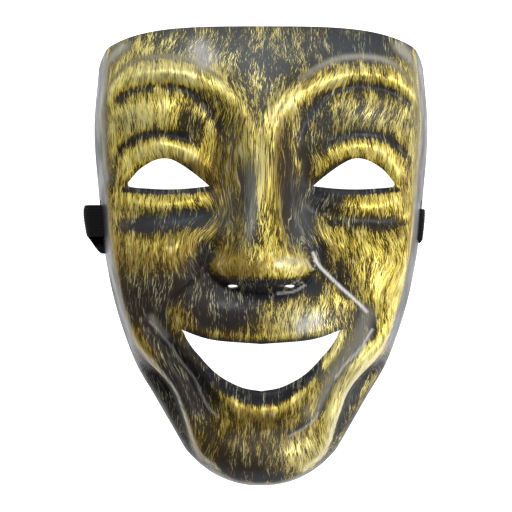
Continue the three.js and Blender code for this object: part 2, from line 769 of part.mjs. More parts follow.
function maskShell() {
  let shell = shellSolid();
  const eye = smoothLine(eyePoints, 2).slice(0, -1);
  const lines = [mouthLine(), eye, mirroredLine(eye), nostrilLine(), mirroredLine(nostrilLine())];
  for (const line of lines) {
    shell = shell.subtract(prism(line, holeCutLow, holeCutHigh));
  }
  for (const side of [-1, 1]) {
    const [near, far] = [side * slotNearX, side * slotFarX];
    const [low, high] = [slotMiddleY - slotLength / 2, slotMiddleY + slotLength / 2];
    const line = [[near, low], [far, low], [far, high], [near, high]];
    shell = shell.subtract(prism(line, slotMiddleZ - slotHeight / 2, slotMiddleZ + slotHeight / 2));
  }
  return shell;
}

// Half of the elastic, from the middle to one end: along the table, under the rim, round outside, back in
// through the slot, and down onto itself where it is sewn. The turn is where it points in again.
function strapHalf(end, middleY) {
  const { flatTo, slantSteps, slantLeast, bendSteps, wayIn, lapNear, lapRise, lapFrom } = strapRoute;
  const rim = curve(sideTable, end.y);
  const half = strapThickness / 2;
  const radius = (slotMiddleZ - half) / 2;
  const bend = Math.min(radius, end.beyond - half);
  const turnX = rim + end.beyond - half - bend;
  const lapZ = half + strapThickness - strapRoute.lapSunk;
  const slantFrom = rim - strapRoute.slantFrom;
  const places = [[0, half], [rim - flatTo, half], [slantFrom, half]];
  for (let k = 1; k < slantSteps && turnX > rim + slantLeast; k += 1) {
    places.push([slantFrom + (turnX - slantFrom) * k / slantSteps, half]);
  }
  const outermost = places.length + bendSteps / 2;
  for (let k = 0; k <= bendSteps; k += 1) {
    const turn = -Math.PI / 2 + Math.PI * k / bendSteps;
    places.push([turnX + bend * Math.cos(turn), half + radius + radius * Math.sin(turn)]);
  }
  const turned = places.length - 1;
  places.push(...wayIn.map(([inwards, drop]) => [rim - inwards, slotMiddleZ - drop]));
  places.push([rim - lapNear, lapZ + lapRise], [rim - lapFrom, lapZ], [rim - lapFrom - strapLapLength, lapZ]);
  const { run } = measured(places);
  const points = places.map(([x, z], k) => {
    const flat = middleY + (end.y - end.slant - middleY) * Math.min(x / (rim - flatTo), 1);
    const out = flat + (end.y - flat) * ramp(run[2], run[outermost], run[k]);
    const back = end.y + (flat - end.y) * ramp(rim - wayIn[0][0], rim - strapRoute.straightBy, x);
    const y = k <= turned ? out : back;
    return { x: end.side * x, y, z, beyond: end.side * Math.max(x - rim, 0), end };
  });
  return { points, turned };
}

// A flat band that follows a line of such points. Its section goes up the outer face and down the inner one.
function band(points) {
  const across = [-1, strapCrease.line, 1];
  const section = [...across.map((v) => [1, v]), ...across.map((v) => [-1, v]).reverse()];
  const places = [];
  const faces = [];
  const n = points.length;
  points.forEach(({ x, y, z, beyond, end }, k) => {
    const before = points[Math.max(k - 1, 0)];
    const after = points[Math.min(k + 1, n - 1)];
    const length = Math.hypot(after.x - before.x, after.z - before.z);
    const nx = -(after.z - before.z) / length * strapThickness / 2;
    const nz = (after.x - before.x) / length * strapThickness / 2;
    for (const [face, v] of section) {
      const lower = end.lowerShort * ((1 - v) / 2) ** strapCrease.lowerPower;
      const short = lower + end.upperShort * ((1 + v) / 2) ** strapCrease.upperPower;
      places.push([x - beyond * short + face * nx, y + v * strapWidth / 2, z + face * nz]);
    }
  });
  const around = section.length;
  for (let k = 0; k < n - 1; k += 1) {
    for (let c = 0; c < around; c += 1) {
      const a = around * k + c;
      const b = around * k + (c + 1) % around;
      faces.push([a, b, b + around]);
      faces.push([a, b + around, a + around]);
    }
  }
  const e = around * (n - 1);
  for (let c = 0; c < around / 2 - 1; c += 1) {
    const [a, b, d, f] = [c, c + 1, around - 2 - c, around - 1 - c];
    faces.push([a, d, b], [a, f, d], [e + a, e + b, e + d], [e + a, e + d, e + f]);
  }
  const solid = solidFrom(places, faces);
  if (solid.volume() > 0) {
    return solid;
  }
  return solidFrom(places, faces.map(([a, b, c]) => [a, c, b]));
}

// One band from turn to turn, with the two ends that come back in joined on.
function elasticStrap() {
  const middleY = strapEnds.reduce((sum, end) => sum + (end.y - end.slant) / strapEnds.length, 0);
  const [left, right] = strapEnds.map((end) => strapHalf(end, middleY));
  const outer = ({ points, turned }) => points.slice(1, turned + 1);
  let strap = band([...outer(left).reverse(), left.points[0], ...outer(right)]);
  for (const { points, turned } of [left, right]) {
    strap = strap.add(band(points.slice(turned - 1)));
  }
  return strap;
}

function meshOf(solid, name, colour, roughness) {
  const { numProp, vertProperties, triVerts } = solid.getMesh();
  const geometry = new THREE.BufferGeometry();
  const places = new Float32Array(vertProperties.length / numProp * 3);
  for (let k = 0; k < places.length / 3; k += 1) {
    for (let axis = 0; axis < 3; axis += 1) {
      places[3 * k + axis] = vertProperties[numProp * k + axis];
    }
  }
  geometry.setAttribute("position", new THREE.BufferAttribute(places, 3));
  geometry.setIndex(new THREE.BufferAttribute(new Uint32Array(triVerts), 1));
  geometry.computeVertexNormals();
  const material = new THREE.MeshStandardMaterial({ color: colour, roughness, metalness: 0 });
  const mesh = new THREE.Mesh(geometry, material);
  mesh.name = name;
  return mesh;
}

const mask = new THREE.Group();
mask.name = "theatre_mask";
mask.add(meshOf(maskShell(), "mask_shell", 0x8a7420, 0.4));
mask.add(meshOf(elasticStrap(), "elastic_strap", 0x0c0c0d, 0.9));

// The middle of the footprint is at X = 0, Y = 0.
const middle = new THREE.Box3().setFromObject(mask).getCenter(new THREE.Vector3());
mask.position.set(-middle.x, -middle.y, 0);

export default mask;
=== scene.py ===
import math

import bmesh
import bpy
import numpy as np
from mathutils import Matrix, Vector
from mathutils.geometry import delaunay_2d_cdt


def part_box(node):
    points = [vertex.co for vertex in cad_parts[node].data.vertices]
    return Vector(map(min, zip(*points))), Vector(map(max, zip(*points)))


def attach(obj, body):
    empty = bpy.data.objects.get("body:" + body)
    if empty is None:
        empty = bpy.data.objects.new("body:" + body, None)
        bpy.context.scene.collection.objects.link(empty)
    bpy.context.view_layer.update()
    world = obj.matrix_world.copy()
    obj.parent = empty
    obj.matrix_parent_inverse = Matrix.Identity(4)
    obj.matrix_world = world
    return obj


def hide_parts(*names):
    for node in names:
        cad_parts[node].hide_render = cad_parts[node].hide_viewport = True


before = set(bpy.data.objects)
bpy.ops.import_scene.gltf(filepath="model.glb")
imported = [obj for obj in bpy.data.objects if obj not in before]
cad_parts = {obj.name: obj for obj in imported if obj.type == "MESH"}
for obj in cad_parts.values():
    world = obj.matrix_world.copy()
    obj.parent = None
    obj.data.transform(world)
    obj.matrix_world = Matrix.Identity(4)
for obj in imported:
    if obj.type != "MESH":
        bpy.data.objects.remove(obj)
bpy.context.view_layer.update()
millimetre = 0.001

# The face's own shape, in millimetres: X across the right half, Y towards the forehead, Z out of the face.
# Tables run along Y, apart from cheekTop, which runs along X, and lines run along their own length.
face = {
    "sheet": 1.2,
    "middleRounding": 2.0,
    "top": 115.5,
    "topDrop": 18.5,
    "chinCorner": (39.2, -99.0),
    "chinDrop": 18.9,
    "chinPower": 2.25,
    "chinLift": 26.0,
    "strapArch": 4.0,
    "side": [(-99, 39.2), (-90, 44.7), (-74, 54.5), (-57, 65), (-42, 71.2), (-27, 76), (-2, 81.1), (34, 85),
             (65, 87.5), (100, 85), (122, 83.5)],
    "wallSlope": [(-121, 9), (-112, 6), (-104, 3.8), (-98, 3), (-86, 2.6), (-76, 2.7), (-62, 3.1), (-53, 4.2),
                  (-44, 6.5), (-30, 6.6), (0, 6.4), (30, 4.8), (50, 5), (68, 6.6), (90, 7), (117, 5.5)],
    "middle": [(-121, 38), (-108, 48), (-95, 52), (-75, 54), (-45, 57), (-30, 58), (-15, 57), (10, 54),
               (35, 54), (60, 59), (80, 60), (100, 56), (117, 49)],
    "shoulderWidth": [(-121, 17), (-112, 24), (-105, 29.5), (-98, 33.8), (-92, 36.2), (-85, 38.4), (-78, 41),
                      (-70, 44.2), (-65, 47.4), (-60, 51.8), (-54, 57.8), (-46, 64.8), (-38, 69), (-22, 72.5),
                      (0, 75), (30, 76.5), (50, 77.5), (68, 81), (90, 81.5), (117, 78)],
    "shoulderHeight": [(-121, 32), (-100, 42), (-75, 45), (-45, 41), (-20, 38), (0, 37), (35, 34), (65, 37),
                       (90, 39), (117, 34)],
    "cheekTop": [(18, 24), (25, 17.5), (33, 12.5), (43, 9.6), (55, 8.8), (67, 9.6), (80, 12)],
    "mouthTop": [(0, -44), (24, -42), (37, -38), (41.5, -35.8)],
    "mouthLow": [(41.5, -35.8), (39, -38.5), (37, -42), (34, -46.5), (30.5, -50.5), (27, -54.5),
                 (22.5, -58.8), (17, -62.5), (9, -66.2), (0, -67.8)],
    "eye": [(26.2, 35.2), (30, 38.5), (35.5, 42.8), (41, 46.5), (46, 48.8), (51, 49), (56, 47.4), (61.5, 44),
            (65.5, 39.8), (67.5, 35.6), (56, 34.2), (46, 33.8), (36, 34.2), (26.2, 35.2)],
    "jawPanel": {"from": -50, "full": -61, "fade": -93, "end": -106, "edge": 7.0, "slope": 8.0, "step": 30.0,
                 "edgeShare": 0.1, "stepShare": (0.93, 1.13)},
    "nostril": {"x": 14.2, "y": -15.2, "length": 5.6, "width": 1.8},
    "noseHeight": [(-24, 20), (-6, 20), (2, 20), (10, 18.5), (20, 16), (35, 13), (50, 11), (60, 9.3), (68, 6),
                   (76, 2.4), (84, 0.5), (92, 0), (100, 0)],
    "noseTop": [(-20, 6), (0, 8), (8, 7), (15, 6), (25, 4.5), (35, 3.8), (50, 4.5), (60, 5.5), (80, 7)],
    "noseFoot": [(-20, 24), (0, 25), (10, 22.5), (20, 19.5), (35, 16.5), (50, 15), (60, 15.5), (80, 20)],
    "bulb": {"halfWidth": 27.5, "height": 23.5, "y": -3.5, "above": 27.0, "below": 16.0, "power": 2.4,
             "softness": (0.75, 1.35), "softer": (-2, 12), "tip": 2.5, "tipPlace": (0, -3, 11, 10, 2.4),
             "blend": 8.0},
    "noseFade": (-16, -4),
    "chinLifts": (-38, -122),
    "strapArches": (-30, 5),
    "strapArchEnds": (30, 65),
    "outlineTop": 122,
    "cheek": {"place": (54, -5, 25, 21, 2.4, -0.35), "height": 1.5, "step": 7.5, "edge": 5.0},
    "eyeEdge": {"depth": 0.5, "lower": 0.8, "width": 1.3, "lowerFrom": (36, 34)},
    "shoulderRounding": {"least": 2.6, "upper": 4.4, "forehead": 4.0},
}

# Round hills and hollows: middle, half widths, height, the section's power, and how far it is turned.
hills = {
    "eyeSocket": (49, 40, 27, 15, -7, 2.6, 0),
    "noseSide": (23, 48, 8, 18, -2.0, 2.2, 0),
    "underBrow": (33, 64, 9, 9, -3.2, 2.2, 0),
    "lidDome": (54.5, 70.5, 21, 10, 4.6, 2.3, -0.05),
    "upperLip": (0, -31, 45, 13.5, 6, 2.6, 0),
    "chin": (0, -103, 26, 11, 5.4, 2.3, 0),
    "underLip": (0, -89.5, 22, 5.5, -1.9, 2.2, 0),
    "mouthCorner": (52, -33, 5, 8.5, -2.6, 2.2, 0.25),
    "wingPit": (29.5, 3.5, 3.6, 5.5, -1.4, 2, 0.2),
}

# Ridges and grooves: the line, half width, height, the share that fades at either end, and the section.
strokes = {
    "brow": ([(4, 56), (6, 63), (9.5, 71), (14, 78), (22, 84.5), (34, 89.5), (48, 91.8), (61, 90.6), (71, 86),
              (77.5, 78.5), (81, 69)], 6.8, 4.8, 0.22, 0.08, 2.3),
    "browGroove": ([(17.5, 50), (20, 61), (25, 71), (31, 78), (38, 82.8), (48, 85), (58, 84.6), (67, 82),
                    (75, 76.5), (81, 70)], 3.2, -3.4, 0.35, 0.1, 1.7),
    "lidGroove": ([(32, 54.5), (37, 58.4), (43, 60.4), (50, 61.5), (58, 61), (65, 58.3), (71, 54), (76, 48)],
                  3.2, -3.2, 0.25, 0.2, 1.6),
    "upperLid": ([(21.5, 33.5), (26, 40), (31, 45.6), (37, 50.2), (44.5, 53), (52, 53.6), (59, 51.8),
                  (65, 47.6), (69.5, 42), (71.5, 34.5)], 5.0, 4.8, 0.25, 0.12, 2.2),
    "lowerLid": ([(18, 31), (30, 28.4), (42, 27), (54, 26.8), (65, 28.4), (75, 33.5)],
                 4.8, 3.8, 0.3, 0.2, 2.2),
    "bagGroove": ([(20, 26), (29, 21.8), (38, 18.8), (50, 17), (62, 16.2), (75, 17)],
                  4.8, -2.4, 0.2, 0.2, 2),
    "noseEdge": ([(19.5, 62), (18, 50), (18, 38), (19.5, 26), (22.5, 15), (26.5, 4)], 2.4, 0.8, 0.2, 0.2, 2),
    "outerFold": ([(66, -24), (64.5, -34), (59, -44.5), (51.5, -52.4), (45.5, -59), (40.5, -68), (37, -77),
                   (33.8, -86), (30, -94.5), (23, -103)], 4.6, 3.6, 0.25, 0.3, 2.2),
}

# Creases: the line, the depth, how far the left and right sides slope into it, and the shares that fade.
creases = {
    "laughLine": ([(18.5, 26), (20.5, 14), (23.5, 4.5), (27.5, -4.2), (30.5, -7), (35, -10.8), (40, -15.6),
                   (45, -20.2), (50, -24.6), (54.5, -28.6)], 4.4, 11.0, 2.0, 0.5, 0.22),
    "lipValley": ([(57.5, -31), (55, -38.4), (50.5, -43.6), (45.6, -49.7), (39.8, -57), (35.4, -65),
                   (32.2, -72.4), (28.5, -78.6), (23.7, -83.5), (14.6, -88.6)], 2.8, 2.0, 7.0, 0.24, 0.35),
}

# The upper lip's edge rolls out and tucks in, and the lower lip is a roll that grows towards the middle: how
# far from the mouth's edge, how wide and how high, with what is added at the corner and at the bottom.
lipShape = {
    "roll": {"height": 0.9, "at": 3.0, "width": 1.8, "fade": 0.75},
    "tuck": {"depth": 2.0, "width": 1.5},
    "crest": {"at": 2.2, "corner": 1.3, "bottom": 7.0, "height": 5.0},
    "inner": {"width": 2.6, "bottom": 2.9},
    "outer": {"width": 3.0, "bottom": 1.8},
    "pit": {"depth": 2.5, "width": 5.5},
    "cornerShare": 0.3,
    "bottomShare": (0.45, 0.95),
}

# The fine mesh: spacing of its points in millimetres, steps between a line's given points, how often heights
# and normals are smoothed, and how near the rim a point counts as on it.
meshing = {"spacing": 0.95, "edgeSpacing": 0.8, "lineSteps": 24, "edgeSteps": 12, "paintSteps": 8,
           "heightPasses": 1, "normalPasses": 6, "touching": 1e-4}


def ramp(low, high, value):
    t = np.clip((value - low) / (high - low), 0, 1)
    return t * t * (3 - 2 * t)


def faded(share, fadeIn, fadeOut):
    return ramp(0, fadeIn, share) * (1 - ramp(1 - fadeOut, 1, share))


def curveThrough(table, at):
    # a smooth curve through pairs, held level beyond the ends
    keys, values = np.array(table, float).T
    slopes = np.gradient(values, keys)
    at = np.clip(at, keys[0], keys[-1])
    i = np.clip(np.searchsorted(keys, at) - 1, 0, len(keys) - 2)
    h = keys[i + 1] - keys[i]
    s = (at - keys[i]) / h
    return ((2 * s**3 - 3 * s**2 + 1) * values[i] + (s**3 - 2 * s**2 + s) * h * slopes[i]
            + (3 * s**2 - 2 * s**3) * values[i + 1] + (s**3 - s**2) * h * slopes[i + 1])


def tabled(name, at):
    return curveThrough(face[name], at)


def smoothLine(points, steps=meshing["lineSteps"]):
    p = np.array(points, float)
    p = np.vstack([2 * p[0] - p[1], p, 2 * p[-1] - p[-2]])
    t = np.linspace(0, 1, steps, endpoint=False)[:, None]
    line = []
    for a, b, c, d in zip(p, p[1:], p[2:], p[3:]):
        line.append(0.5 * (2 * b + (c - a) * t + (2 * a - 5 * b + 4 * c - d) * t**2
                           + (3 * b - a - 3 * c + d) * t**3))
    return np.vstack(line + [p[-2][None]])


def runAlong(line):
    # the way covered from a line's start to each of its points
    return np.concatenate([[0], np.cumsum(np.hypot(*np.diff(line, axis=0).T))])


def nearest(x, y, line):
    # distance to a line, the side of it (left is positive), and the share of the line there
    best = np.full(x.shape, np.inf)
    left = np.zeros_like(x)
    share = np.zeros_like(x)
    steps = np.diff(line, axis=0)
    run = runAlong(line)
    for (ax, ay), (dx, dy), length, start in zip(line, steps, np.hypot(*steps.T), run):
        t = np.clip(((x - ax) * dx + (y - ay) * dy) / length**2, 0, 1)
        qx = x - ax - t * dx
        qy = y - ay - t * dy
        distance = np.hypot(qx, qy)
        closer = distance < best
        best = np.where(closer, distance, best)
        left = np.where(closer, dx * qy - dy * qx, left)
        share = np.where(closer, (start + t * length) / run[-1], share)
    return best, np.sign(left), share


def closed(loop):
    return np.vstack([loop, loop[:1]])


def lowerOf(a, b, rounding):
    h = np.clip(0.5 + 0.5 * (b - a) / rounding, 0, 1)
    return b * (1 - h) + a * h - rounding * h * (1 - h)


def higherOf(a, b, rounding):
    return -lowerOf(-a, -b, rounding)


def hill(x, y, cx, cy, rx, ry, power, turn=0.0):
    u = ((x - cx) * math.cos(turn) + (y - cy) * math.sin(turn)) / rx
    v = ((y - cy) * math.cos(turn) - (x - cx) * math.sin(turn)) / ry
    return np.exp(-(np.abs(u)**power + np.abs(v)**power))


def crease(x, y, points, depth, leftWidth, rightWidth, fadeIn, fadeOut):
    distance, left, share = nearest(x, y, smoothLine(points))
    width = np.where(left > 0, leftWidth, rightWidth)
    return -depth * faded(share, fadeIn, fadeOut) * np.exp(-(distance / width)**1.4)


def upperLipEdge(x, y):
    roll, tuck = lipShape["roll"], lipShape["tuck"]
    distance, left, share = nearest(x, y, smoothLine(face["mouthTop"]))
    edge = np.where(left > 0, distance, -distance)
    rolled = roll["height"] * np.exp(-((edge - roll["at"]) / roll["width"])**2)
    tucked = tuck["depth"] * np.exp(-(np.maximum(edge, 0) / tuck["width"])**2)
    return (rolled - tucked) * (1 - ramp(roll["fade"], 1, share))


def lips(x, y):
    crest, inner, outer, pit = (lipShape[key] for key in ("crest", "inner", "outer", "pit"))
    distance, _, share = nearest(x, y, smoothLine(face["mouthLow"]))
    bottom = ramp(*lipShape["bottomShare"], share)
    corner = ramp(0, lipShape["cornerShare"], share)
    middle = crest["at"] + crest["corner"] * corner + crest["bottom"] * bottom
    width = np.where(distance < middle, inner["width"] + inner["bottom"] * bottom,
                     outer["width"] + outer["bottom"] * bottom)
    roll = crest["height"] * np.exp(-(np.abs(distance - middle) / width)**2.2) * corner
    return upperLipEdge(x, y) + roll - pit["depth"] * np.exp(-(distance / pit["width"])**2) * bottom


def eyeEdge(x, y):
    # the sheet dips at the edge of each eye hole, most along its straight lower side
    edge = face["eyeEdge"]
    distance = nearest(x, y, smoothLine(face["eye"], meshing["paintSteps"]))[0]
    depth = edge["depth"] + edge["lower"] * ramp(*edge["lowerFrom"], y)
    return -depth * np.exp(-(distance / edge["width"])**2)


def nose(x, y):
    bulb = face["bulb"]
    top = tabled("noseTop", y)
    across = np.clip((x - top) / (tabled("noseFoot", y) - top), 0, 1)
    ridge = tabled("noseHeight", y) * (1 - ramp(0, 1, across)) * ramp(*face["noseFade"], y)
    reach = np.where(y > bulb["y"], bulb["above"], bulb["below"])
    u = np.minimum(np.hypot(x / bulb["halfWidth"], (y - bulb["y"]) / reach), 1)
    least, more = bulb["softness"]
    low, high = bulb["softer"]
    softness = least + more * ramp(bulb["y"] + low, bulb["y"] + high, y)
    rounded = bulb["height"] * (1 - u**bulb["power"])**softness
    tip = bulb["tip"] * hill(x, y, *bulb["tipPlace"])
    return higherOf(ridge, rounded + tip * (1 - u * u), bulb["blend"])


def front(x, y):
    x = np.hypot(x, face["middleRounding"])
    middle = tabled("middle", y)
    z = middle - (middle - tabled("shoulderHeight", y)) * (x / tabled("shoulderWidth", y))**2.4
    for cx, cy, rx, ry, height, power, turn in hills.values():
        z += height * hill(x, y, cx, cy, rx, ry, power, turn)
    # the cheek, with a crisp upper edge
    cheek = face["cheek"]
    slope = tabled("cheekTop", x + 0.5) - tabled("cheekTop", x - 0.5)
    below = (tabled("cheekTop", x) - y) / np.hypot(1, slope)
    raised = cheek["step"] * ramp(-cheek["edge"], cheek["edge"], below) + cheek["height"]
    z += raised * hill(x, y, *cheek["place"])
    for points, strokeWidth, height, fadeIn, fadeOut, power in strokes.values():
        distance, _, share = nearest(x, y, smoothLine(points))
        z += height * faded(share, fadeIn, fadeOut) * np.exp(-(distance / strokeWidth)**power)
    for line in creases.values():
        z += crease(x, y, *line)
    return z + lips(x, y) + nose(x, y) + eyeEdge(x, y)


def chinCurve(count):
    cx, cy = face["chinCorner"]
    x = cx * np.cos(np.linspace(0, math.pi / 2, count))
    x[-1] = 0
    return np.column_stack([x, cy - face["chinDrop"] * (1 - (x / cx)**face["chinPower"])**0.95])


def sideLine(top, count):
    ys = np.linspace(top, face["chinCorner"][1], count)[:-1]
    return np.column_stack([tabled("side", ys), ys])


def rimHeight(y):
    arched = ramp(*face["strapArches"], y) * (1 - ramp(*face["strapArchEnds"], y))
    return face["chinLift"] * ramp(*face["chinLifts"], y) + face["strapArch"] * arched


def surfaceHeight(x, y):
    x = np.abs(x)
    distance, left, _ = nearest(x, y, np.vstack([sideLine(face["outlineTop"], 241), chinCurve(61)]))
    inside = np.where(left < 0, distance, -distance)
    wall = rimHeight(y) + tabled("wallSlope", y) * inside
    # below the mouth the wall is a gentle panel, and a crisp step leads from it up to the fold
    panel = face["jawPanel"]
    rim = tabled("side", y)
    share = (rim - x) / (rim - tabled("shoulderWidth", y))
    gentle = (rimHeight(y) + panel["edge"] * (1 - np.exp(-np.maximum(share, 0) / panel["edgeShare"]))
              + panel["slope"] * share + panel["step"] * ramp(*panel["stepShare"], share))
    here = ramp(panel["from"], panel["full"], y) * (1 - ramp(panel["fade"], panel["end"], y))
    wall = wall + (gentle - wall) * here
    soft = face["shoulderRounding"]
    return lowerOf(front(x, y), wall,
                   soft["least"] + soft["upper"] * ramp(-50, 20, y) + soft["forehead"] * ramp(90, 112, y))


def spaced(line, step):
    # points at an even spacing along a line, both ends kept
    run = runAlong(line)
    at = np.linspace(0, run[-1], max(int(round(run[-1] / step)), 2) + 1)
    return np.column_stack([np.interp(at, run, line[:, 0]), np.interp(at, run, line[:, 1])])


def bothHalves(right):
    # a loop from a right-hand line that starts and ends on the middle
    return np.vstack([right, (right * [-1, 1])[::-1][1:-1]])


def rimLoop():
    corner = face["top"] - face["topDrop"]
    rise = np.cos(np.linspace(0, math.pi / 2, 60)[:-1])**1.3
    topY = corner + face["topDrop"] * rise
    topLine = np.column_stack([tabled("side", topY) * (1 - rise**(1 / 0.606))**0.25, topY])
    side = sideLine(corner, 200)
    step = meshing["edgeSpacing"]
    return bothHalves(np.vstack([spaced(np.vstack([topLine, side[:1]]), step)[:-1],
                                 spaced(np.vstack([side, chinCurve(60)]), step)]))


def holeLoops():
    mouthTop, mouthLow, eye = (spaced(smoothLine(face[key], meshing["edgeSteps"]), meshing["edgeSpacing"])
                               for key in ("mouthTop", "mouthLow", "eye"))
    slit = face["nostril"]
    turn = np.linspace(0, 2 * math.pi, 21)[:-1]
    nostril = np.column_stack([slit["x"] + slit["length"] / 2 * np.cos(turn),
                               slit["y"] + slit["width"] / 2 * np.sin(turn)])
    return [bothHalves(np.vstack([mouthTop, mouthLow[1:]])), eye[:-1], eye[:-1] * [-1, 1], nostril,
            nostril * [-1, 1]]


def insideLoop(x, y, loop):
    inside = np.zeros(x.shape, bool)
    for (x0, y0), (x1, y1) in zip(loop, np.roll(loop, -1, axis=0)):
        if y0 != y1:
            inside ^= ((y0 > y) != (y1 > y)) & (x < (x1 - x0) * (y - y0) / (y1 - y0) + x0)
    return inside


def onSheet(x, y, rim, *holes):
    kept = insideLoop(x, y, rim)
    for hole in holes:
        kept &= ~insideLoop(x, y, hole)
    return kept


def faceNet():
    # points spread over the face, triangulated so that the rim and the holes are edges
    step = meshing["spacing"]
    loops = [rimLoop()] + holeLoops()
    x, y = np.meshgrid(np.arange(-90, 90, step), np.arange(-125, 120, step * math.sqrt(3) / 2))
    x[1::2] += step / 2
    x, y = x.ravel(), y.ravel()
    keep = onSheet(x, y, *loops)
    x, y = x[keep], y[keep]
    gap = np.min([nearest(x, y, closed(loop))[0] for loop in loops], axis=0)
    inner = np.column_stack([x, y])[gap > step * 0.55]
    edges = []
    start = 0
    for loop in loops:
        n = len(loop)
        edges += [(start + k, start + (k + 1) % n) for k in range(n)]
        start += n
    flat = [Vector(p) for p in np.vstack(loops + [inner]).tolist()]
    found, _, triangles, _, _, _ = delaunay_2d_cdt(flat, edges, [], 0, 1e-6, False)
    net = np.array([(p.x, p.y) for p in found])
    triangles = np.array([t for t in triangles if len(t) == 3])
    triangles = triangles[onSheet(*net[triangles].mean(axis=1).T, *loops)]
    a, b, c = (net[triangles[:, k]] for k in range(3))
    turned = (b - a)[:, 0] * (c - a)[:, 1] - (b - a)[:, 1] * (c - a)[:, 0] < 0
    triangles[turned] = triangles[turned][:, ::-1]
    used = np.unique(triangles)
    place = np.full(len(net), -1)
    place[used] = np.arange(len(used))
    return net[used], place[triangles], loops[0]


def neighbourMean(values, pairs, weights):
    # each point's mean over the points it shares an edge with
    total = np.zeros_like(values)
    np.add.at(total, pairs[:, 0], values[pairs[:, 1]])
    np.add.at(total, pairs[:, 1], values[pairs[:, 0]])
    return total / (weights if values.ndim == 1 else weights[:, None])


def triangleEdges(triangles):
    return np.vstack([triangles[:, [0, 1]], triangles[:, [1, 2]], triangles[:, [2, 0]]])


def edgePairs(triangles, count):
    pairs = np.unique(np.sort(triangleEdges(triangles), axis=1), axis=0)
    return pairs, np.bincount(pairs.ravel(), minlength=count).astype(float)


def openEdges(triangles):
    # edges with a triangle on one side alone, in that triangle's direction
    every = triangleEdges(triangles)
    _, index, number = np.unique(np.sort(every, axis=1), axis=0, return_inverse=True, return_counts=True)
    return every[number[index.ravel()] == 1]


def unitRows(rows):
    return rows / np.maximum(np.linalg.norm(rows, axis=1), 1e-6)[:, None]


def pointNormals(places, triangles):
    a, b, c = (places[triangles[:, k]] for k in range(3))
    flat = np.cross(b - a, c - a)
    normals = np.zeros_like(places)
    for k in range(3):
        np.add.at(normals, triangles[:, k], flat)
    return unitRows(normals)


def rowPlace(places):
    # millimetres on the face to metres in the frame
    low, high = (np.array(corner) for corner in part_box("mask_shell"))
    shift = np.array([(low[0] + high[0]) / 2, high[1] - face["top"] * millimetre, 0])
    return places * millimetre + shift


def linked(name, data):
    made = bpy.data.objects.new(name, data)
    bpy.context.scene.collection.objects.link(made)
    return made


def meshObject(name, places, faces, materials, faceMaterials=None):
    mesh = bpy.data.meshes.new(name)
    mesh.from_pydata(np.asarray(places).tolist(), [], [list(f) for f in faces])
    for material in materials:
        mesh.materials.append(material)
    if faceMaterials is not None:
        mesh.polygons.foreach_set("material_index", faceMaterials)
    mesh.polygons.foreach_set("use_smooth", np.ones(len(mesh.polygons), bool))
    mesh.update()
    return linked(name, mesh)


def pointAttribute(made, name, values):
    values = np.asarray(values, np.float32)
    kind, key = ("FLOAT", "value") if values.ndim == 1 else ("FLOAT_VECTOR", "vector")
    made.data.attributes.new(name, kind, "POINT").data.foreach_set(key, values.ravel())


# How much gold the brush left: more on ridges, less in hollows, and changed in the places and along the lines
# named below it.
# Some of them stand for light and shade, not for the brush: painted shade on the left muzzle, cheek, jaw and
# chin and in the left laugh line, which lie away from the key light, and painted highlights on the bulb's
# right side and along the right brow's lower edge. A place is a side (0 is both), x, y, the two half widths
# and a share to add. A line is a side, its points, the half width and a share to add. The sum is held between
# -1 and 1.
gilding = {"base": 0.50, "fineRelief": 0.16, "broadRelief": 0.042, "finePasses": 10, "broadPasses": 90}

